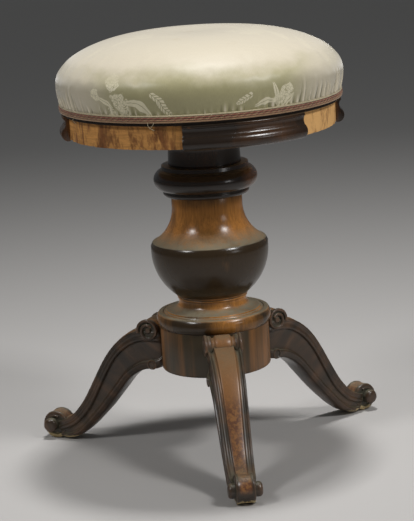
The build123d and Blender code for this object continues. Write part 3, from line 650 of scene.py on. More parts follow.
class STOOL_OT_column(bpy.types.Operator):
    """Column, drum, cap and the boss under the seat"""

    bl_idname = "stool.column"
    bl_label = "Column"

    def execute(self, context):
        colours = context.scene.stool_colours
        worn = context.scene.stool_sizes.worn_edge
        walnut = wood(
            "column_walnut",
            colours.walnut_light,
            colours.walnut_dark,
            colours.dust,
            figure=(17, 17, 6),
            balance=(0.30, 0.60),
            gloss=0.20,
            dust=1.0,
            dust_face=(0.45, 0.92),
            arris=0.10,
            specular=0.4,
            shade=column_tone_and_neck_shade,
        )
        drum_walnut = wood(
            "drum_walnut",
            colours.drum_light,
            colours.drum_dark,
            colours.dust,
            figure=(34, 34, 1.6),
            balance=(0.42, 0.66),
            gloss=0.34,
            arris=0.2,
        )
        dark = dark_polish("dark_turning", colours, cap_rubbed_and_lit_side)
        for name, node, outline, material, body, slot in (
            ("turned_column", "column", column_outline(), walnut, "base", "walnut"),
            ("turned_cap", "column_cap", cap_outline(), dark, "base", "dark_turning"),
            ("turned_drum", "drum", drum_outline(), drum_walnut, "base", "drum_walnut"),
            ("turned_boss", "seat_boss", boss_outline(), dark, "seat", "dark_turning"),
        ):
            piece = turned(name, outline)
            wear_edges(piece, worn)
            finish_piece(piece, material, body, [node])
        return {"FINISHED"}


def dark_polish(name, colours, shade=None):
    """Near-black old polish, rubbed through to the wood here and there."""
    return wood(
        name,
        colours.rubbed_polish,
        colours.black_polish_and_lip_shade,
        colours.dust,
        figure=(13, 13, 6),
        balance=(0.46, 0.80),
        gloss=0.20,
        dust=0.25,
        dust_face=(0.7, 1.0),
        grime=0.3,
        arris=0.25,
        shade=shade,
    )


# ---------------------------------------------------------------- legs
FOOT_R = 17.5 * MM
LEG_REACH = reach("leg_right") - DRUM_R - FOOT_R  # drum to the centre of the foot scroll
LEG_RISE = 151 * MM  # floor to the centre of the volute
# Along the show face from head to foot: reach and rise as shares of the leg's, lean of the
# section from upright in degrees, its depth, and the depth of the hollows on its face.
LEG_STATIONS = [
    (-0.032, 1.010, 0.0, 50.0, 7.0),
    (0.080, 1.012, 2.0, 52.5, 7.5),
    (0.200, 1.008, 8.0, 53.0, 4.2),
    (0.312, 0.954, 15.6, 52.0, 3.8),
    (0.416, 0.868, 22.0, 49.0, 3.6),
    (0.506, 0.748, 30.0, 46.0, 3.5),
    (0.584, 0.606, 37.0, 40.0, 3.4),
    (0.656, 0.470, 43.8, 35.0, 3.2),
    (0.727, 0.344, 50.0, 30.0, 3.0),
    (0.802, 0.252, 49.0, 28.5, 2.6),
    (0.870, 0.192, 38.0, 28.5, 2.2),
    (0.945, 0.165, 30.0, 28.5, 1.6),
    (1.015, 0.142, 8.0, 20.8, 1.0),
]
LEG_END = 0.62  # the last section is this much narrower, inside the foot scroll
LEG_WIDTHS = (43.0, 31.0)
LEG_BANDS = (27.0, 12.0)  # raised band down the middle of the show face
SIDE_BANDS = (15.5, 12.0)  # upper band along each side
SIDE_RIBS = (11.0, 6.0)  # lower rib along each side
SIDE_SINK = 3.2  # the side lies this far in, between its band and its rib
VOLUTE_OUT = 15 * MM
FOOT_LIFT = 0.4 * MM
FOOT_WIDTH = 22 * MM


def taper(ends, share, power=1.0):
    """Value between a head and a foot value; a power over 1 changes fast at the head."""
    head, foot = ends
    return foot + (head - foot) * (1 - share) ** power


def leg_frame(index):
    """Top of one cross-section, and the direction down through it."""
    reach_share, rise_share, lean, _, _ = LEG_STATIONS[index]
    top = Vector((DRUM_R + reach_share * LEG_REACH, 0, rise_share * LEG_RISE))
    return top, Vector((-sin(radians(lean)), 0, -cos(radians(lean))))


def leg_section(index):
    """Half of a cross-section as (across, place), from the middle of the face to the underside."""
    share = index / (len(LEG_STATIONS) - 1)
    _, _, _, depth, hollow = LEG_STATIONS[index]
    half = taper(LEG_WIDTHS, share, 1.1) / 2
    face = taper(LEG_BANDS, share, 1.2) / 2
    band = taper(SIDE_BANDS, share)
    rib = taper(SIDE_RIBS, share)
    rows = [
        (0.3 * face, -0.6),
        (face - 1.2, -0.1),
        (face - 0.1, 0.2),
        (face + 0.3, hollow * 0.5),
        (face + 0.7, hollow * 0.9),
        ((face + half) / 2 - 0.6, hollow + 0.4),
        (half - 3.4, hollow * 0.8),
        (half - 2.4, hollow * 0.3),
        (half - 0.8, hollow * 0.3),
        (half, hollow * 0.75),
        (half - 0.2, 4.4),
        (half - 1.1, 5.6),
        (half - 1.1, band - 5.4),
        (half + 0.1, band - 4.2),
        (half + 0.1, band - 1.4),
        (half - 1.2, band + 0.2),
        (half - SIDE_SINK, band + 0.6),
        (half - SIDE_SINK - 0.4, band + 3.4),
        (half - SIDE_SINK - 0.4, depth - rib - 4.0),
        (half - SIDE_SINK, depth - rib - 1.6),
        (half - 0.7, depth - rib - 1.0),
        (half + 0.1, depth - rib + 0.2),
        (half + 0.1, depth - rib + 2.2),
        (half - 1.2, depth - 0.45 * rib),
        (half - 1.6, depth - 2.0),
        (half - 5.0, depth),
    ]
    narrow = LEG_END if index == len(LEG_STATIONS) - 1 else 1.0
    top, down = leg_frame(index)
    return [(across * narrow * MM, top + down * drop * MM) for across, drop in rows]


def leg_body():
    """Carved body of a leg along +X, drawn as one section and extruded station by station."""
    first = leg_section(0)
    right = [Vector((place.x, across, place.z)) for across, place in first]
    left = [Vector((place.x, -across, place.z)) for across, place in reversed(first)]
    ring = right + left
    piece = start_point("leg_body", ring[0])
    draw_line(ring + ring[:1])
    merge_doubles()
    bpy.ops.mesh.edge_face_add()
    for index in range(1, len(LEG_STATIONS)):
        bpy.ops.mesh.extrude_region_move()
        mesh = bmesh.from_edit_mesh(piece.data)
        mesh.verts.index_update()
        fresh = [v.index for v in mesh.verts if v.select]
        for (across, place), (next_across, next_place) in zip(leg_section(index - 1), leg_section(index)):
            mesh = edited(piece)
            near = Vector((place.x, across, place.z))
            for v in mesh.verts:
                v.select = False
            for k in fresh:
                v = mesh.verts[k]
                v.select = (Vector((v.co.x, abs(v.co.y), v.co.z)) - near).length < 2 * FUSE
            keep_selection(piece, mesh)
            bpy.ops.transform.translate(value=next_place - place)
            bpy.ops.transform.resize(
                value=(1, next_across / across, 1), center_override=(next_place.x, 0, next_place.z)
            )
            mesh = edited(piece)
            fresh.sort(key=lambda k: mesh.verts[k].select)
        mesh = edited(piece)
        for k in fresh:
            mesh.verts[k].select = True
        keep_selection(piece, mesh)
    mend_mesh()
    bpy.ops.object.mode_set(mode="OBJECT")
    apply_modifier(piece, "SUBSURF", levels=2, render_levels=2)
    return piece


def roll(name, centre, outline, steps=40):
    """A roll across the leg, from an outline of (radius, across) about its centre."""
    places = [centre + Vector((r, across, 0)) for r, across in outline]
    piece = start_point(name, places[0])
    draw_line(places)
    bpy.ops.mesh.select_all(action="SELECT")
    bpy.ops.mesh.spin(steps=steps, angle=2 * pi, center=centre, axis=(0, 1, 0))
    mend_mesh()
    bpy.ops.object.mode_set(mode="OBJECT")
    return piece


def mirrored(side):
    """A half outline of (radius, across) and its mirror image, from face to face."""
    return [(r * MM, -y * MM) for r, y in reversed(side)] + [(r * MM, y * MM) for r, y in side]


def scroll_line(centre, start_r, end_r, start_angle, end_angle, across, steps=64):
    """Points of a spiral in the side of the leg; angles in degrees from +X towards +Z."""
    places = []
    for i in range(steps + 1):
        t = i / steps
        angle = radians(start_angle + (end_angle - start_angle) * t)
        r = start_r + (end_r - start_r) * t
        places.append(centre + Vector((r * cos(angle), across, r * sin(angle))))
    return places


def leg_pieces():
    """All the forms of one leg along +X: body, volute, small scroll, foot scroll and cords."""
    half = LEG_WIDTHS[0] / 2
    head = Vector((DRUM_R + VOLUTE_OUT, 0, LEG_RISE))
    foot = Vector((DRUM_R + LEG_REACH, 0, FOOT_R + FOOT_LIFT))
    pieces = [leg_body()]
    centre_half, ring = 9.6, half - 7.5
    volute = [(13.3, 3.0), (13.2, centre_half - 1.2), (12.4, centre_half - 0.2), (10.4, centre_half + 1.2)]
    volute += [(10.0, (centre_half + ring) / 2), (10.6, ring - 0.9), (12.6, ring + 0.6), (13.2, ring + 2.4)]
    volute += [(13.2, half - 2.6), (12.4, half - 1.9), (11.6, half - 2.0), (4.6, half - 2.4)]
    volute += [(4.2, half - 1.0), (3.0, half + 0.3), (0, half + 0.6)]
    pieces.append(roll("leg_volute", head, mirrored(volute)))
    lobe_centre = Vector((DRUM_R + 12.5 * MM, 0, DRUM_FOOT + 0.5 * MM))
    lobe = [(6.6, 4.0), (6.6, half - 1.6), (6.0, half - 0.4), (4.6, half)]
    lobe += [(3.6, half - 0.9), (0, half - 0.3)]
    pieces.append(roll("leg_lobe", lobe_centre, mirrored(lobe), 28))
    half_foot = FOOT_WIDTH / MM / 2
    foot_side = [(16.7, 2.0), (16.8, half_foot - 4.5), (17.2, half_foot - 3.2), (17.5, half_foot - 2.0)]
    foot_side += [(17.2, half_foot - 0.7), (16.3, half_foot), (12.4, half_foot), (11.6, half_foot - 1.2)]
    foot_side += [(10.6, half_foot - 1.4), (0, half_foot - 1.4)]
    pieces.append(roll("foot_roll", foot, mirrored(foot_side), 48))
    eye = foot + Vector((5 * MM, 0, 0))
    eye_side = [(8.6, 4.0), (8.8, 13.0), (9.0, 15.5), (8.8, 17.4)]
    eye_side += [(7.8, 19.0), (6.0, 20.0), (3.4, 20.4), (0, 20.5)]
    pieces.append(roll("foot_eye", eye, mirrored(eye_side), 40))
    for side in (-1, 1):
        across = side * (half - 0.7) * MM
        whorl = scroll_line(head, 14.2 * MM, 6.2 * MM, -12, 500, across)
        pieces.append(tube("side_scroll", whorl, 2.1 * MM, sides=10))
        curl = scroll_line(foot, 15.6 * MM, 11.0 * MM, 130, 470, side * (half_foot - 0.8) * MM)
        pieces.append(tube("foot_scroll", curl, 1.7 * MM, sides=10))
    return pieces


def leg_tint(colours):
    """Rubbed bands down the show faces, stained red below, and chalky losses at the feet."""

    def tint(finish, colour_now):
        across = finish.math("ABSOLUTE", finish.axis("Y", "leg_place"))
        rise = finish.axis("Z", "leg_place")
        out = finish.axis("X", "leg_place")
        speckle = finish.noise(finish.space((210, 210, 210), attribute="leg_place"), 1.0, 5, 0.7)
        wide = finish.ease(rise, 30 * MM, 150 * MM, 7 * MM, 14 * MM)
        band = finish.ease(finish.less(across, wide), 1.5 * MM, -1.5 * MM)
        band = finish.times(band, finish.upward(-0.2, 0.25))
        stained = finish.times(finish.ease(rise, 118 * MM, 85 * MM), finish.ease(speckle, 0.40, 0.60))
        rubbed = finish.mix(stained, tuple(colours.band_wood), tuple(colours.band_red))
        flecked = finish.ease(speckle, 0.55, 0.75, 0.0, 0.6)
        rubbed = finish.mix(flecked, rubbed, scaled(colours.band_wood, 1.5))
        colour_now = finish.mix(finish.times(band, 0.85), colour_now, rubbed)
        chips = finish.noise(finish.space((75, 75, 75), attribute="leg_place"), 1.0, 5, 0.7)
        low = finish.times(finish.ease(rise, 17 * MM, 3 * MM), finish.ease(out, 178 * MM, 190 * MM))
        lost = finish.ease(finish.times(chips, low), 0.42, 0.50)
        return finish.mix(lost, colour_now, tuple(colours.loss))

    return tint


class STOOL_OT_legs(bpy.types.Operator):
    """Three carved legs, made once and set round the drum"""

    bl_idname = "stool.legs"
    bl_label = "Legs"

    def execute(self, context):
        colours = context.scene.stool_colours
        model = join(leg_pieces(), "leg_model")
        place = model.data.attributes.new("leg_place", "FLOAT_VECTOR", "POINT")
        for vertex, value in zip(model.data.vertices, place.data):
            value.vector = vertex.co
        material = wood(
            "leg_walnut",
            colours.leg_light,
            colours.leg_dark,
            colours.leg_dust,
            figure=(42, 42, 12),
            balance=(0.36, 0.76),
            turn=(0, radians(-48), 0),
            attribute="leg_place",
            gloss=0.32,
            dust=0.40,
            grime=0.85,
            murk=0.5,
            fibre=0.15,
            arris=0.45,
            tint=leg_tint(colours),
        )
        for node, turn in LEGS.items():
            choose(model)
            bpy.ops.object.duplicate()
            leg = context.object
            leg.name = node.replace("leg", "carved_leg")
            leg.rotation_euler = (0, 0, radians(turn))
            finish_piece(leg, material, "base", [node], 40)
        bpy.data.objects.remove(model)
        return {"FINISHED"}


# ---------------------------------------------------------------- seat frame
MOULDINGS = {  # azimuth where each length of moulding starts, and its sweep, in degrees
    "moulding_front": (-98.0, 53.0),
    "moulding_right_back": (-5.0, 99.8),
    "moulding_left_back": (95.2, 97.8),
}
BARE_LENGTHS = ((-45.0, -5.0), (193.0, 262.0))  # azimuths of the rail without moulding
RAIL_FACE_R = 162.0
MOULDING_EDGE = 0.3 * MM
GLUE_PATCH, GLUE_DEPTH = 9 * MM, 0.35 * MM  # torn patches all over the bare face
CHIP_PATCH, CHIP_DEPTH = 7 * MM, 2.2 * MM  # chips out of its lower edge
CHIP_RISE = 5 * MM  # the chips end this far above the underside
BARE_SINK = 0.15 * MM


def moulding_outline():
    """Section of the moulding: fillet, cove and ovolo, above the board's underside."""
    foot, lip = -1.5, (high("moulding_front") - BOARD_FOOT) / MM
    line = [(RAIL_FACE_R + 0.05, foot), (RAIL_FACE_R + 0.05, lip), (168.6, lip), (169.0, lip - 0.5)]
    line += [(169.0, lip - 3.1), (168.0, lip - 3.7), (167.6, lip - 4.4)]
    line += bow(line[-1], (166.7, 18.8), (168.2, 14.6), 8)
    line += bow(line[-1], (172.3, 6.4), (165.6, foot), 18)
    return in_metres(line, BOARD_FOOT)


def rail_outline():
    """Section of the rail, with rows on its outer face for the broken glue."""
    top, lip = (RAIL_TOP - BOARD_FOOT) / MM, (high("moulding_front") - BOARD_FOOT) / MM
    lip_r = LIP_R / MM
    rows = 12
    line = [(140.05, 0)] + [(RAIL_FACE_R, lip * i / rows) for i in range(rows + 1)]
    line += [(lip_r, lip), (lip_r, top), (132.0, top), (132.0, 22.0), (140.05, 22.0)]
    return in_metres(line, BOARD_FOOT)


def is_bare(place):
    """Whether a place on the rail's face lies where a moulding is missing."""
    around = degrees(atan2(place.y, place.x))
    return any(start < around + turn < end for start, end in BARE_LENGTHS for turn in (0, 360))


def break_glue(rail):
    """Roughen the bare lengths of the rail's face, as torn glue leaves them."""
    for vertex in rail.data.vertices:
        place = vertex.co
        radius = hypot(place.x, place.y)
        if abs(radius - RAIL_FACE_R * MM) > 0.2 * MM or not is_bare(place):
            continue
        torn = noise.fractal(place / GLUE_PATCH, 0.6, 2.2, 4) * GLUE_DEPTH
        foot = max(0.0, 1 - (place.z - BOARD_FOOT) / CHIP_RISE)
        chip = min(0.0, noise.noise(place / CHIP_PATCH) - 0.1) * CHIP_DEPTH * foot
        share = (radius + torn + chip - BARE_SINK) / radius
        vertex.co.x *= share
        vertex.co.y *= share


def bare_wood(colours):
    """Bare rail: tan softwood with dark patches of old glue drawn down in streaks."""
    finish = Finish("bare_rail", Specular_IOR_Level=0.3)
    grain = finish.noise(finish.space((60, 60, 500)), 1.0, 3, 0.6)
    drips = finish.noise(finish.space((48, 48, 17)), 1.0, 5, 0.68, 0.6)
    flecks = finish.noise(finish.space((190, 190, 60)), 1.0, 4, 0.7)
    tone = finish.plus(finish.times(drips, 0.7), finish.times(flecks, 0.3))
    side = finish.axis("X")
    lighter = finish.ease(side, 0.02, 0.06, -0.035, 0.065)
    glue = finish.ease(finish.less(tone, lighter), 0.46, 0.60)
    ground = finish.mix(finish.ease(grain, 0.3, 0.7), scaled(colours.bare_light, 0.72), colours.bare_light)
    ground = finish.mix(finish.ease(side, 0.02, 0.06), ground, colours.bare_clean)
    tint = finish.mix(finish.ease(flecks, 0.3, 0.7), colours.bare_dark, scaled(colours.bare_dark, 2.4))
    colour_now = finish.mix(glue, ground, tint)
    rise = finish.axis("Z")
    # Above the lip the rail is coloured black: partly stain, partly painted shadow under the gimp.
    lip = high("moulding_front")
    above_lip = finish.ease(rise, lip - 0.6 * MM, lip + 0.4 * MM)
    colour_now = finish.mix(above_lip, colour_now, colours.black_polish_and_lip_shade)
    relief = finish.plus(finish.times(glue, 0.8), finish.times(grain, 0.3))
    return finish.wear(colour_now, finish.ease(glue, 0, 1, 0.72, 0.42), finish.bump(relief, 0.5, 0.4 * MM))


class STOOL_OT_seat_frame(bpy.types.Operator):
    """Rail and the three lengths of moulding left on it"""

    bl_idname = "stool.seat_frame"
    bl_label = "Seat frame"

    def execute(self, context):
        colours = context.scene.stool_colours
        rail = turned("bare_rail", rail_outline(), 360)
        break_glue(rail)
        finish_piece(rail, bare_wood(colours), "seat", ["seat_rail"])
        dark = dark_polish("dark_moulding", colours)
        for node, (start, sweep) in MOULDINGS.items():
            piece = turned(node + "_length", moulding_outline(), round(sweep), start, sweep)
            wear_edges(piece, MOULDING_EDGE)
            finish_piece(piece, dark, "seat", [node])
        return {"FINISHED"}


# ---------------------------------------------------------------- cushion
HEM_R = 168.3 * MM
CROWN_FULLNESS = 2.25
WIDEST = 26 * MM  # above the rail
WIDEST_Z = RAIL_TOP + WIDEST
SWELL_ROOM = 2.5 * MM  # left above the crown for the cover to swell into
STRETCH = 1.0 * MM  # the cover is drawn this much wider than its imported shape
CROWN_STEPS = 34
CLOTH_SETTINGS = {
    "uniform_pressure_force": 4,
    "tension_stiffness": 25,
    "compression_stiffness": 2,
    "bending_stiffness": 4,
    "quality": 6,
}
CLOTH_FRAMES = 20
CLOTH_CAP = 7 * MM  # farthest that the cloth may move
CLOTH_UNEVEN = 0.25  # share of each point's own swelling, beside its ring's mean
CUSHION_STEPS = 256
POLE_R = 2 * MM  # smallest ring round the cushion's axis
STUFFING_R = 131.7 * MM  # where the stuffing goes down inside the rail
PLEAT_STEPS = (2, 5)  # narrowest and widest pleat, in steps of azimuth
PLEAT_RISE = (12, 40)  # lowest and highest pleat, in millimetres
PLEAT_SPARSE = 0.35  # size of the pleats at front and back, as a share of those at the sides


def cushion_outline():
    """Half outline of the stuffed cover, from the crown to the hem and back under."""
    crown = SEAT_TOP - WIDEST_Z - SWELL_ROOM
    radius = SEAT_R + STRETCH
    power = 2 / CROWN_FULLNESS
    line = []
    for i in range(CROWN_STEPS + 1):
        a = pi / 2 * (1 - i / CROWN_STEPS)
        line.append((radius * cos(a) ** power, WIDEST_Z + crown * sin(a) ** power))
    line[0] = (POLE_R, WIDEST_Z + crown)
    line.insert(0, (0, WIDEST_Z + crown))
    line += flow(line[-1], (0, -7 * MM), (-3 * MM, -8 * MM), (HEM_R, RAIL_TOP), 7)
    hem_foot, under = GIMP_FOOT + 0.5 * MM, BOARD_TOP + 0.02 * MM
    lip_r, lip_top = LIP_R + 0.2 * MM, RAIL_TOP + 0.2 * MM
    line += [(HEM_R, GIMP_TOP - 3 * MM), (HEM_R, hem_foot), (lip_r, hem_foot), (lip_r, lip_top)]
    line += [(STUFFING_R, lip_top), (STUFFING_R, under), (POLE_R, under), (0, under)]
    return line


def swell(cushion):
    """Let the cover swell under the stuffing's pressure, held at its hem."""
    held = cushion.vertex_groups.new(name="held")
    fixed = [v.index for v in cushion.data.vertices if v.co.z < RAIL_TOP + 1.5 * MM]
    held.add(fixed, 1.0, "REPLACE")
    before = [v.co.copy() for v in cushion.data.vertices]
    choose(cushion)
    cloth = cushion.modifiers.new("cloth", "CLOTH")
    settings = cloth.settings
    settings.vertex_group_mass = "held"
    settings.use_pressure = True
    settings.effector_weights.gravity = 0
    for key, value in CLOTH_SETTINGS.items():
        setattr(settings, key, value)
    cloth.collision_settings.use_collision = False
    for step in range(1, CLOTH_FRAMES + 1):
        bpy.context.scene.frame_set(step)
    swollen = cushion.evaluated_get(bpy.context.evaluated_depsgraph_get())
    after = [v.co.copy() for v in swollen.data.vertices]
    cushion.modifiers.remove(cloth)
    bpy.context.scene.frame_set(1)
    rings = {}
    moves = []
    for old, new in zip(before, after):
        move = Vector((hypot(new.x, new.y) - hypot(old.x, old.y), new.z - old.z))
        ring_now = rings.setdefault((round(hypot(old.x, old.y), 4), round(old.z, 4)), [])
        ring_now.append(move)
        moves.append((move, ring_now))
    for vertex, old, (move, ring_now) in zip(cushion.data.vertices, before, moves):
        mean = sum(ring_now, Vector((0, 0))) / len(ring_now)
        move = mean.lerp(move, CLOTH_UNEVEN)
        if move.length > CLOTH_CAP:
            move = move.normalized() * CLOTH_CAP
        out = Vector((old.x, old.y, 0))
        out = out.normalized() * move.x if out.length > 2 * POLE_R else Vector((0, 0, 0))
        vertex.co = old + out + Vector((0, 0, move.y))


def refine(cushion):
    """Subdivide the cover once, with its two poles opened first and closed after."""
    choose(cushion)
    bpy.ops.object.mode_set(mode="EDIT")
    pick(cushion, lambda place: hypot(place.x, place.y) < 0.5 * POLE_R)
    bpy.ops.mesh.delete(type="VERT")
    bpy.ops.object.mode_set(mode="OBJECT")
    apply_modifier(cushion, "SUBSURF", levels=1, render_levels=1)
    bpy.ops.object.mode_set(mode="EDIT")
    for side in (-1, 1):
        middle = (SEAT_TOP + BOARD_TOP) / 2
        pick(cushion, lambda place: hypot(place.x, place.y) < 1.3 * POLE_R and side * (place.z - middle) > 0)
        bpy.ops.mesh.merge(type="CENTER")
    bpy.ops.object.mode_set(mode="OBJECT")


def pleat_table(steps):
    """Random pleats round the hem: for each step of azimuth, their push and how high they reach."""
    rng = random.Random(7)
    pushes, heights = [0.0] * steps, [PLEAT_RISE[0] * MM] * steps
    start = 0
    while start < steps:
        width = rng.randint(*PLEAT_STEPS)
        azimuth_now = 2 * pi * (start + width / 2) / steps
        crowded = PLEAT_SPARSE + (1 - PLEAT_SPARSE) * abs(cos(azimuth_now + 0.15)) ** 1.5
        share = rng.uniform(0.3, 1.0) * crowded
        tall = rng.uniform(*PLEAT_RISE) * MM * crowded
        for i in range(start, min(steps, start + width)):
            wave = 0.5 - 0.5 * cos(2 * pi * (i - start + 0.5) / width)
            pushes[i] = share * (wave - 0.45)
            heights[i] = tall
        start += width
    return pushes, heights


def gather(cushion, height):
    """Small uneven pleats where the cover is drawn in above the gimp."""
    steps = 2 * CUSHION_STEPS
    pushes, heights = pleat_table(steps)
    marks = cushion.data.attributes.new("pleat", "FLOAT", "POINT").data
    for vertex, mark in zip(cushion.data.vertices, marks):
        place = vertex.co
        radius = hypot(place.x, place.y)
        above = place.z - GIMP_TOP
        if above < -MM or radius < 0.85 * HEM_R:
            continue
        step = round(atan2(place.y, place.x) / (2 * pi) * steps) % steps
        fade = max(0.0, 1 - max(above, 0.0) / heights[step]) ** 0.8
        # These marks also drive a painted highlight on the ridges and painted shade in the hollows of the
        # silk.
        mark.value = pushes[step] * fade
        share = 1 + height * pushes[step] * fade / radius
        vertex.co.x *= share
        vertex.co.y *= share


def lay_cloth(cushion):
    """UV map in metres of cloth from the crown, laid before the cover is swollen and gathered."""
    marks = [(0.0, cushion_outline()[0])]
    for there in cushion_outline()[1:]:
        travelled, here = marks[-1]
        marks.append((travelled + hypot(there[0] - here[0], there[1] - here[1]), there))
    laid = []
    for vertex in cushion.data.vertices:
        place = vertex.co
        radius = hypot(place.x, place.y)
        along = min(marks, key=lambda m: (m[1][0] - radius) ** 2 + (m[1][1] - place.z) ** 2)[0]
        angle = atan2(place.y, place.x)
        laid.append((along * cos(angle), along * sin(angle)))
    layer = cushion.data.uv_layers.new(name="cloth")
    for loop in cushion.data.loops:
        layer.data[loop.index].uv = laid[loop.vertex_index]


DAMASK_ROW = 0.79  # height of one repeat, as a share of its width
LEFT_BOUQUET = (-0.57, -180.0)  # share of the repeat across, and millimetres along the cloth
RIGHT_BOUQUET = (0.51, -187.0)


class Damask(Finish):
    """Satin damask: motifs on the cloth's own UV map, in millimetres of cloth."""

    def split(self, vector):
        """X and Y of a vector."""
        parts = self.nodes.new("ShaderNodeSeparateXYZ")
        self.links.new(vector, parts.inputs[0])
        return parts.outputs["X"], parts.outputs["Y"]

    def lattice(self, origin, width, row):
        """Place inside one cell of a half-drop lattice whose cells centre on an origin."""
        cloth = self.add("UVMap", {}, uv_map="cloth")
        drift = self.add("TexNoise", {"Vector": cloth, "Scale": 60.0, "Detail": 2.0}, "Color")
        drift = self.add("VectorMath", {0: drift, 1: (0.5, 0.5, 0.5)}, operation="SUBTRACT")
        cloth = self.add("VectorMath", {0: drift, 1: (0.008,) * 3, 2: cloth}, operation="MULTIPLY_ADD")
        x, y = self.split(self.add("VectorMath", {0: cloth, 1: (1 / MM,) * 3}, operation="MULTIPLY"))
        y = self.math("DIVIDE", self.less(y, origin[1] - row / 2), row)
        number = self.math("FLOOR", y)
        y_cell = self.times(self.less(self.less(y, number), 0.5), row)
        slide = self.times(self.math("MODULO", number, 2.0), 0.5)
        x = self.plus(self.math("DIVIDE", self.less(x, origin[0] - width / 2), width), slide)
        x_cell = self.times(self.less(self.math("FRACT", x), 0.5), width)
        return self.add("CombineXYZ", {"X": x_cell, "Y": y_cell})

    def local(self, cell, place, turn):
        """X and Y along and across a shape that stands at a place and is turned, in degrees."""
        moved = self.add("VectorMath", {0: cell, 1: (*place, 0.0)}, operation="SUBTRACT")
        turned_now = self.add("Mapping", {"Vector": moved, "Rotation": (0, 0, radians(-turn))})
        return self.split(turned_now)

    def leaf(self, cell, place, turn, half, width, bend=0.0):
        """Pointed leaf, bent to one side, with a fine midrib."""
        x, y = self.local(cell, place, turn)
        t = self.math("DIVIDE", x, half)
        y = self.plus(y, self.times(self.times(t, t), bend))
        across = self.math("DIVIDE", y, width)
        across = self.times(across, across)
        inside = self.less(1.0, self.plus(self.math("ABSOLUTE", t), across))
        rib = self.ease(self.math("ABSOLUTE", y), 0.25, 0.6)
        return self.times(self.ease(inside, 0.0, 0.12), rib)

    def blossom(self, cell, place, size, grain, ragged):
        """Round head of many small petals, with a ragged edge."""
        x, y = self.local(cell, place, 0)
        x, y = self.math("DIVIDE", x, size[0]), self.math("DIVIDE", y, size[1])
        out = self.math("SQRT", self.plus(self.times(x, x), self.times(y, y)))
        out = self.plus(out, ragged)
        return self.times(self.ease(out, 1.0, 0.86), grain)

    def ear(self, cell, place, turn, span, width, step):
        """Ear of corn: pairs of grains along a stalk."""
        x, y = self.local(cell, place, turn)
        side = self.math("ABSOLUTE", y)
        lean = self.less(x, self.times(side, 0.9))
        beat = self.math("FRACT", self.math("DIVIDE", lean, step))
        grain = self.ease(self.math("ABSOLUTE", self.less(beat, 0.5)), 0.42, 0.28)
        grain = self.times(grain, self.ease(side, 0.25, 0.6))
        t = self.math("DIVIDE", self.less(x, span / 2), span / 2)
        edge = self.less(1.0, self.times(t, t))
        edge = self.less(self.times(self.math("SQRT", self.math("MAXIMUM", edge, 0.0)), width), side)
        return self.times(grain, self.ease(edge, 0.0, 0.5))

    def gathered(self, masks):
        """Union of masks."""
        whole = masks[0]
        for mask in masks[1:]:
            whole = self.math("MAXIMUM", whole, mask)
        return whole


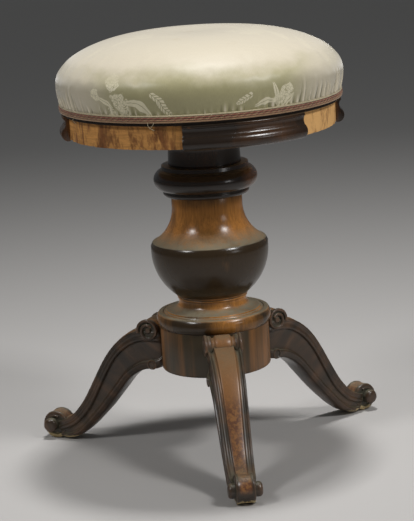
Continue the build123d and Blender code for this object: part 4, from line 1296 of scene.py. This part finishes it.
def silk_damask(colours, repeat):
    """Pale satin with bouquets, leaves and ears of corn in a duller, lighter weave."""
    silk = Damask("silk_damask", Sheen_Weight=0.55, Sheen_Roughness=0.4, Specular_IOR_Level=0.35)
    width, row = repeat / MM, DAMASK_ROW * repeat / MM
    cloth = silk.add("UVMap", {}, uv_map="cloth")
    petal_cells = {"Vector": cloth, "Scale": 260.0, "Randomness": 0.7}
    petals = silk.add("TexVoronoi", petal_cells, "Distance", feature="DISTANCE_TO_EDGE")
    grain = silk.ease(petals, 0.01, 0.07)
    bouquets = (LEFT_BOUQUET, RIGHT_BOUQUET)
    left, right = (silk.lattice((across * width, along), 2 * width, row) for across, along in bouquets)
    ragged = silk.add("VectorMath", {0: cloth, 1: (110.0, 110.0, 1.0)}, operation="MULTIPLY")
    ragged = silk.noise(ragged, 1.0, 2, 0.5)
    ragged = silk.times(silk.less(ragged, 0.5), 1.3)
    heads = [
        (left, (-3, 35), (10, 13)),
        (left, (-8, 6), (12, 19)),
        (left, (-14, -14), (15, 12)),
        (left, (-30, 2), (10, 13)),
        (left, (-34, 41), (7, 9)),
        (right, (22, 20), (10, 13)),
        (right, (18, 8), (9, 9)),
        (right, (28, 2), (10, 7)),
    ]
    motif = silk.gathered(
        [silk.blossom(cell, place, size, grain, ragged) for cell, place, size in heads]
        + [
            silk.leaf(left, (18, -9), -49, 26, 6.5, 5.0),
            silk.leaf(left, (-26, 22), 112, 14, 3.5, -3.0),
            silk.ear(left, (38.7, -1.3), -60, 38, 5.5, 4.4),
            silk.ear(right, (-22, 0), -140, 28, 4.5, 4.4),
            silk.leaf(right, (-1, -2), 30, 19, 4.5, 4.0),
            silk.leaf(right, (9, 14), 128, 13, 3.5, -2.0),
            silk.leaf(right, (33, 14), 84, 13, 3.5, 2.0),
            silk.ear(right, (42, -6), -20, 24, 4.0, 4.2),
        ]
    )
    motif = silk.times(motif, silk.ease(silk.upward(0.2, 0.8), 0.0, 1.0, 1.0, 0.18))
    fine = silk.add("VectorMath", {0: cloth, 1: (1600.0, 260.0, 1.0)}, operation="MULTIPLY")
    threads = silk.noise(fine, 1.0, 2, 0.5)
    aged = silk.noise(silk.space((14, 14, 14)), 1.0, 4, 0.6)
    rise = silk.axis("Z")
    side = silk.math("ABSOLUTE", silk.axis("X"))
    uneven = silk.plus(rise, silk.ease(aged, 0.3, 0.7, -8 * MM, 8 * MM))
    # The crown is lighter, partly as faded silk and partly as painted sheen; the left and right sides are
    # lighter as painted reflection of the lamps.
    crown = silk.ease(uneven, WIDEST_Z, WIDEST_Z + 30 * MM)
    fade_and_painted_light = silk.math("MAXIMUM", crown, silk.ease(side, 88 * MM, 140 * MM, 0.0, 0.9))
    ground = silk.mix(silk.ease(aged, 0.35, 0.7), colours.silk, scaled(colours.silk, 1.14))
    ground = silk.mix(fade_and_painted_light, ground, colours.silk_faded_and_lit)
    thread_lines = silk.ease(threads, 0.3, 0.7, 0.0, 0.3)
    shaded = silk.mix(fade_and_painted_light, scaled(colours.silk, 0.75), scaled(colours.silk_faded_and_lit, 0.82))
    ground = silk.mix(thread_lines, ground, shaded)
    pleat = silk.add("Attribute", {}, "Fac", attribute_name="pleat")
    # Painted highlight on the pleats' ridges and painted shade in their hollows.
    ground = silk.mix(silk.ease(pleat, 0.02, 0.22, 0.0, 0.85), ground, scaled(colours.silk_faded_and_lit, 1.3))
    ground = silk.mix(silk.ease(pleat, -0.02, -0.20, 0.0, 0.75), ground, scaled(colours.silk, 0.4))
    raised = silk.mix(thread_lines, colours.silk_motif, scaled(colours.silk_motif, 0.86))
    soiled = silk.ease(silk.noise(silk.space((30, 30, 30)), 1.0, 4, 0.65), 0.60, 0.78, 0.0, 0.22)
    colour_now = silk.mix(soiled, silk.mix(motif, ground, raised), (0.42, 0.33, 0.18))
    roughness = silk.plus(silk.ease(motif, 0.0, 1.0, 0.36, 0.52), silk.times(crown, 0.14))
    relief = silk.plus(silk.times(motif, 0.6), silk.times(threads, 0.5))
    normal = silk.bump(relief, 0.35, 0.25 * MM)
    pulls = silk.noise(silk.space((90, 90, 12)), 1.0, 2, 0.5)
    return silk.wear(colour_now, roughness, silk.bump(pulls, 0.25, 1.2 * MM, normal))


class STOOL_OT_cushion(bpy.types.Operator):
    """Stuffed cushion in silk damask"""

    bl_idname = "stool.cushion"
    bl_label = "Cushion"

    def execute(self, context):
        colours = context.scene.stool_colours
        cushion = turned("silk_cushion", cushion_outline(), CUSHION_STEPS)
        lay_cloth(cushion)
        swell(cushion)
        refine(cushion)
        gather(cushion, context.scene.stool_sizes.pleat)
        silk = silk_damask(colours, context.scene.stool_sizes.repeat)
        finish_piece(cushion, silk, "seat", ["seat_cover", "stuffing"], 60)
        return {"FINISHED"}


# ---------------------------------------------------------------- gimp
LOOSE_THREAD_R = 0.22 * MM
# Azimuth, length and curl of each broken thread.
LOOSE_THREADS = ((-111.0, 9 * MM, 2.5), (-108.5, 7 * MM, -2.0), (-150.0, 6 * MM, 1.5))


def thread(name, rgb):
    """Dull spun thread, soiled here and there."""
    finish = Finish(name, Sheen_Weight=0.3, Specular_IOR_Level=0.3)
    soil = finish.noise(finish.space((45, 45, 45)), 1.0, 4, 0.65)
    fuzz = finish.noise(finish.space((2200, 2200, 2200)), 1.0, 2, 0.6)
    colour_now = finish.mix(finish.ease(fuzz, 0.3, 0.7), scaled(rgb, 0.72), scaled(rgb, 1.12))
    colour_now = finish.mix(finish.ease(soil, 0.45, 0.75, 0.0, 0.55), colour_now, scaled(rgb, 0.45))
    return finish.wear(colour_now, 0.68, finish.bump(fuzz, 0.5, 0.2 * MM))


def ring(radius, height, steps=240):
    """Points of a level circle round the axis."""
    turns = [2 * pi * i / steps for i in range(steps)]
    return [Vector((radius * cos(t), radius * sin(t), height)) for t in turns]


def strand(phase, radius, height, swing, twist, steps=1440):
    """Points of one strand of a twisted cord laid round the axis."""
    turns = round(2 * pi * radius / twist)
    places = []
    for i in range(steps):
        around = 2 * pi * i / steps
        lay = turns * around + phase
        r = radius + swing * cos(lay)
        places.append(Vector((r * cos(around), r * sin(around), height + swing * sin(lay))))
    return places


def loose_thread(azimuth_now, length_now, curl, steps=8):
    """Points of a broken thread that hangs from the gimp's lower edge."""
    clear, bulge, tucked = 0.2 * MM, 2.4 * MM, 1.2 * MM
    places = []
    for i in range(steps + 1):
        t = i / steps
        a = radians(azimuth_now + curl * t * t)
        r = GIMP_R + clear + bulge * sin(pi * t)
        places.append(Vector((r * cos(a), r * sin(a), GIMP_FOOT + tucked - length_now * t)))
    return places


class STOOL_OT_gimp(bpy.types.Operator):
    """Braid round the foot of the cushion"""

    bl_idname = "stool.gimp"
    bl_label = "Gimp"

    def execute(self, context):
        colours = context.scene.stool_colours
        sizes = context.scene.stool_sizes
        cord = sizes.cord_r
        inner = GIMP_R - 2.6 * MM
        cream = thread("gimp_cream", colours.cord_cream)
        red = thread("gimp_red", colours.cord_red)
        tan = thread("gimp_tan", colours.cord_tan)
        top = tube("gimp_top_cord", ring(inner + cord, GIMP_TOP - cord), cord, True, 8)
        finish_piece(top, cream, "seat", ["gimp_braid"], 60)
        low_cord = tube("gimp_low_cord", ring(inner + cord, GIMP_FOOT + cord), cord, True, 8)
        finish_piece(low_cord, tan, "seat", [], 60)
        rope = 0.62 * cord
        room = GIMP_TOP - GIMP_FOOT - 4 * cord
        for row, height, mix in (
            ("upper", GIMP_FOOT + 2 * cord + 0.75 * room, (red, tan, red)),
            ("lower", GIMP_FOOT + 2 * cord + 0.25 * room, (tan, red, tan)),
        ):
            for index, material in enumerate(mix):
                path = strand(2 * pi * index / 3, inner + 2.1 * rope, height, 0.9 * rope, sizes.twist)
                piece = tube(f"gimp_{row}_strand_{index + 1}", path, rope, True)
                finish_piece(piece, material, "seat", [], 60)
        for index, (azimuth_now, length_now, curl) in enumerate(LOOSE_THREADS):
            path = loose_thread(azimuth_now, length_now, curl)
            piece = tube(f"loose_thread_{index + 1}", path, LOOSE_THREAD_R)
            finish_piece(piece, cream, "seat", [], 60)
        return {"FINISHED"}


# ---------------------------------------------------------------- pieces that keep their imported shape
def iron(name, bright=1.0, rust=0.5, roughness=0.45):
    """Oiled iron with rust in patches."""
    finish = Finish(name, Metallic=0.85)
    patches = finish.noise(finish.space((60, 60, 60)), 1.0, 5, 0.65)
    fine = finish.noise(finish.space((700, 700, 700)), 1.0, 3, 0.6)
    rusty = finish.times(finish.ease(patches, 0.50, 0.66), rust)
    metal = finish.mix(finish.ease(fine, 0.3, 0.7), (0.16 * bright,) * 3, (0.25 * bright,) * 3)
    colour_now = finish.mix(rusty, metal, (0.16, 0.060, 0.025))
    dulled = finish.ease(patches, 0.3, 0.7, roughness * 0.85, roughness * 1.4)
    return finish.wear(colour_now, dulled, finish.bump(fine, 0.2, 0.1 * MM))


def sawn_wood(name, light, dark, along):
    """Plain unpolished wood, with its growth rings along one of the axes."""
    finish = Finish(name, Specular_IOR_Level=0.25)
    stretch = [9 if axis == along else 120 for axis in "XYZ"]
    rings = finish.noise(finish.space(stretch), 1.0, 3, 0.5, 1.2)
    fibre = finish.noise(finish.space([5 * n for n in stretch]), 1.0, 3, 0.6)
    stains = finish.noise(finish.space((16, 16, 16)), 1.0, 4, 0.6)
    colour_now = finish.mix(finish.ease(rings, 0.40, 0.62), light, dark)
    colour_now = finish.mix(finish.ease(stains, 0.45, 0.8, 0.0, 0.6), colour_now, scaled(dark, 0.5))
    return finish.wear(colour_now, 0.75, finish.bump(fibre, 0.3, 0.4 * MM))


class STOOL_OT_ironwork(bpy.types.Operator):
    """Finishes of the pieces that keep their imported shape"""

    bl_idname = "stool.ironwork"
    bl_label = "Ironwork"

    def execute(self, context):
        colours = context.scene.stool_colours
        finishes = {
            "iron": iron("oiled_iron"),
            "steel": iron("dull_steel", 1.8, 0.35, 0.38),
            "pine": sawn_wood("sawn_pine", colours.pine_light, colours.pine_dark, "X"),
            "beech": sawn_wood("plain_beech", colours.beech_light, colours.beech_dark, "Z"),
        }
        for row in frame["record"]["subparts"]:
            if row["material_slot"] in finishes:
                node = frame["nodes"][row["node"]]
                node.data.materials.clear()
                node.data.materials.append(finishes[row["material_slot"]])
        return {"FINISHED"}


class STOOL_PT_panel(bpy.types.Panel):
    """The stool's pieces, in the order they are made"""

    bl_idname = "STOOL_PT_panel"
    bl_label = "Piano Stool"
    bl_space_type = "VIEW_3D"
    bl_region_type = "UI"
    bl_category = "Piano Stool"

    def draw(self, context):
        for settings in (context.scene.stool_sizes, context.scene.stool_colours):
            box = self.layout.box()
            for key in settings.bl_rna.properties.keys():
                if key not in ("rna_type", "name"):
                    box.prop(settings, key)
        for kind in OPERATORS:
            self.layout.operator(kind.bl_idname)


OPERATORS = (
    STOOL_OT_stage,
    STOOL_OT_ironwork,
    STOOL_OT_column,
    STOOL_OT_legs,
    STOOL_OT_seat_frame,
    STOOL_OT_cushion,
    STOOL_OT_gimp,
)
CLASSES = (StoolSizes, StoolColours, *OPERATORS, STOOL_PT_panel)


def register():
    """Register the classes and give the scene its settings."""
    for kind in CLASSES:
        bpy.utils.register_class(kind)
    bpy.types.Scene.stool_sizes = bpy.props.PointerProperty(type=StoolSizes)
    bpy.types.Scene.stool_colours = bpy.props.PointerProperty(type=StoolColours)


def unregister():
    """Undo register."""
    del bpy.types.Scene.stool_sizes
    del bpy.types.Scene.stool_colours
    for kind in reversed(CLASSES):
        bpy.utils.unregister_class(kind)


def main():
    """Make every piece in order."""
    register()
    bpy.ops.stool.stage()
    bpy.ops.stool.ironwork()
    bpy.ops.stool.column()
    bpy.ops.stool.legs()
    bpy.ops.stool.seat_frame()
    bpy.ops.stool.cushion()
    bpy.ops.stool.gimp()


if __name__ == "__main__":
    main()
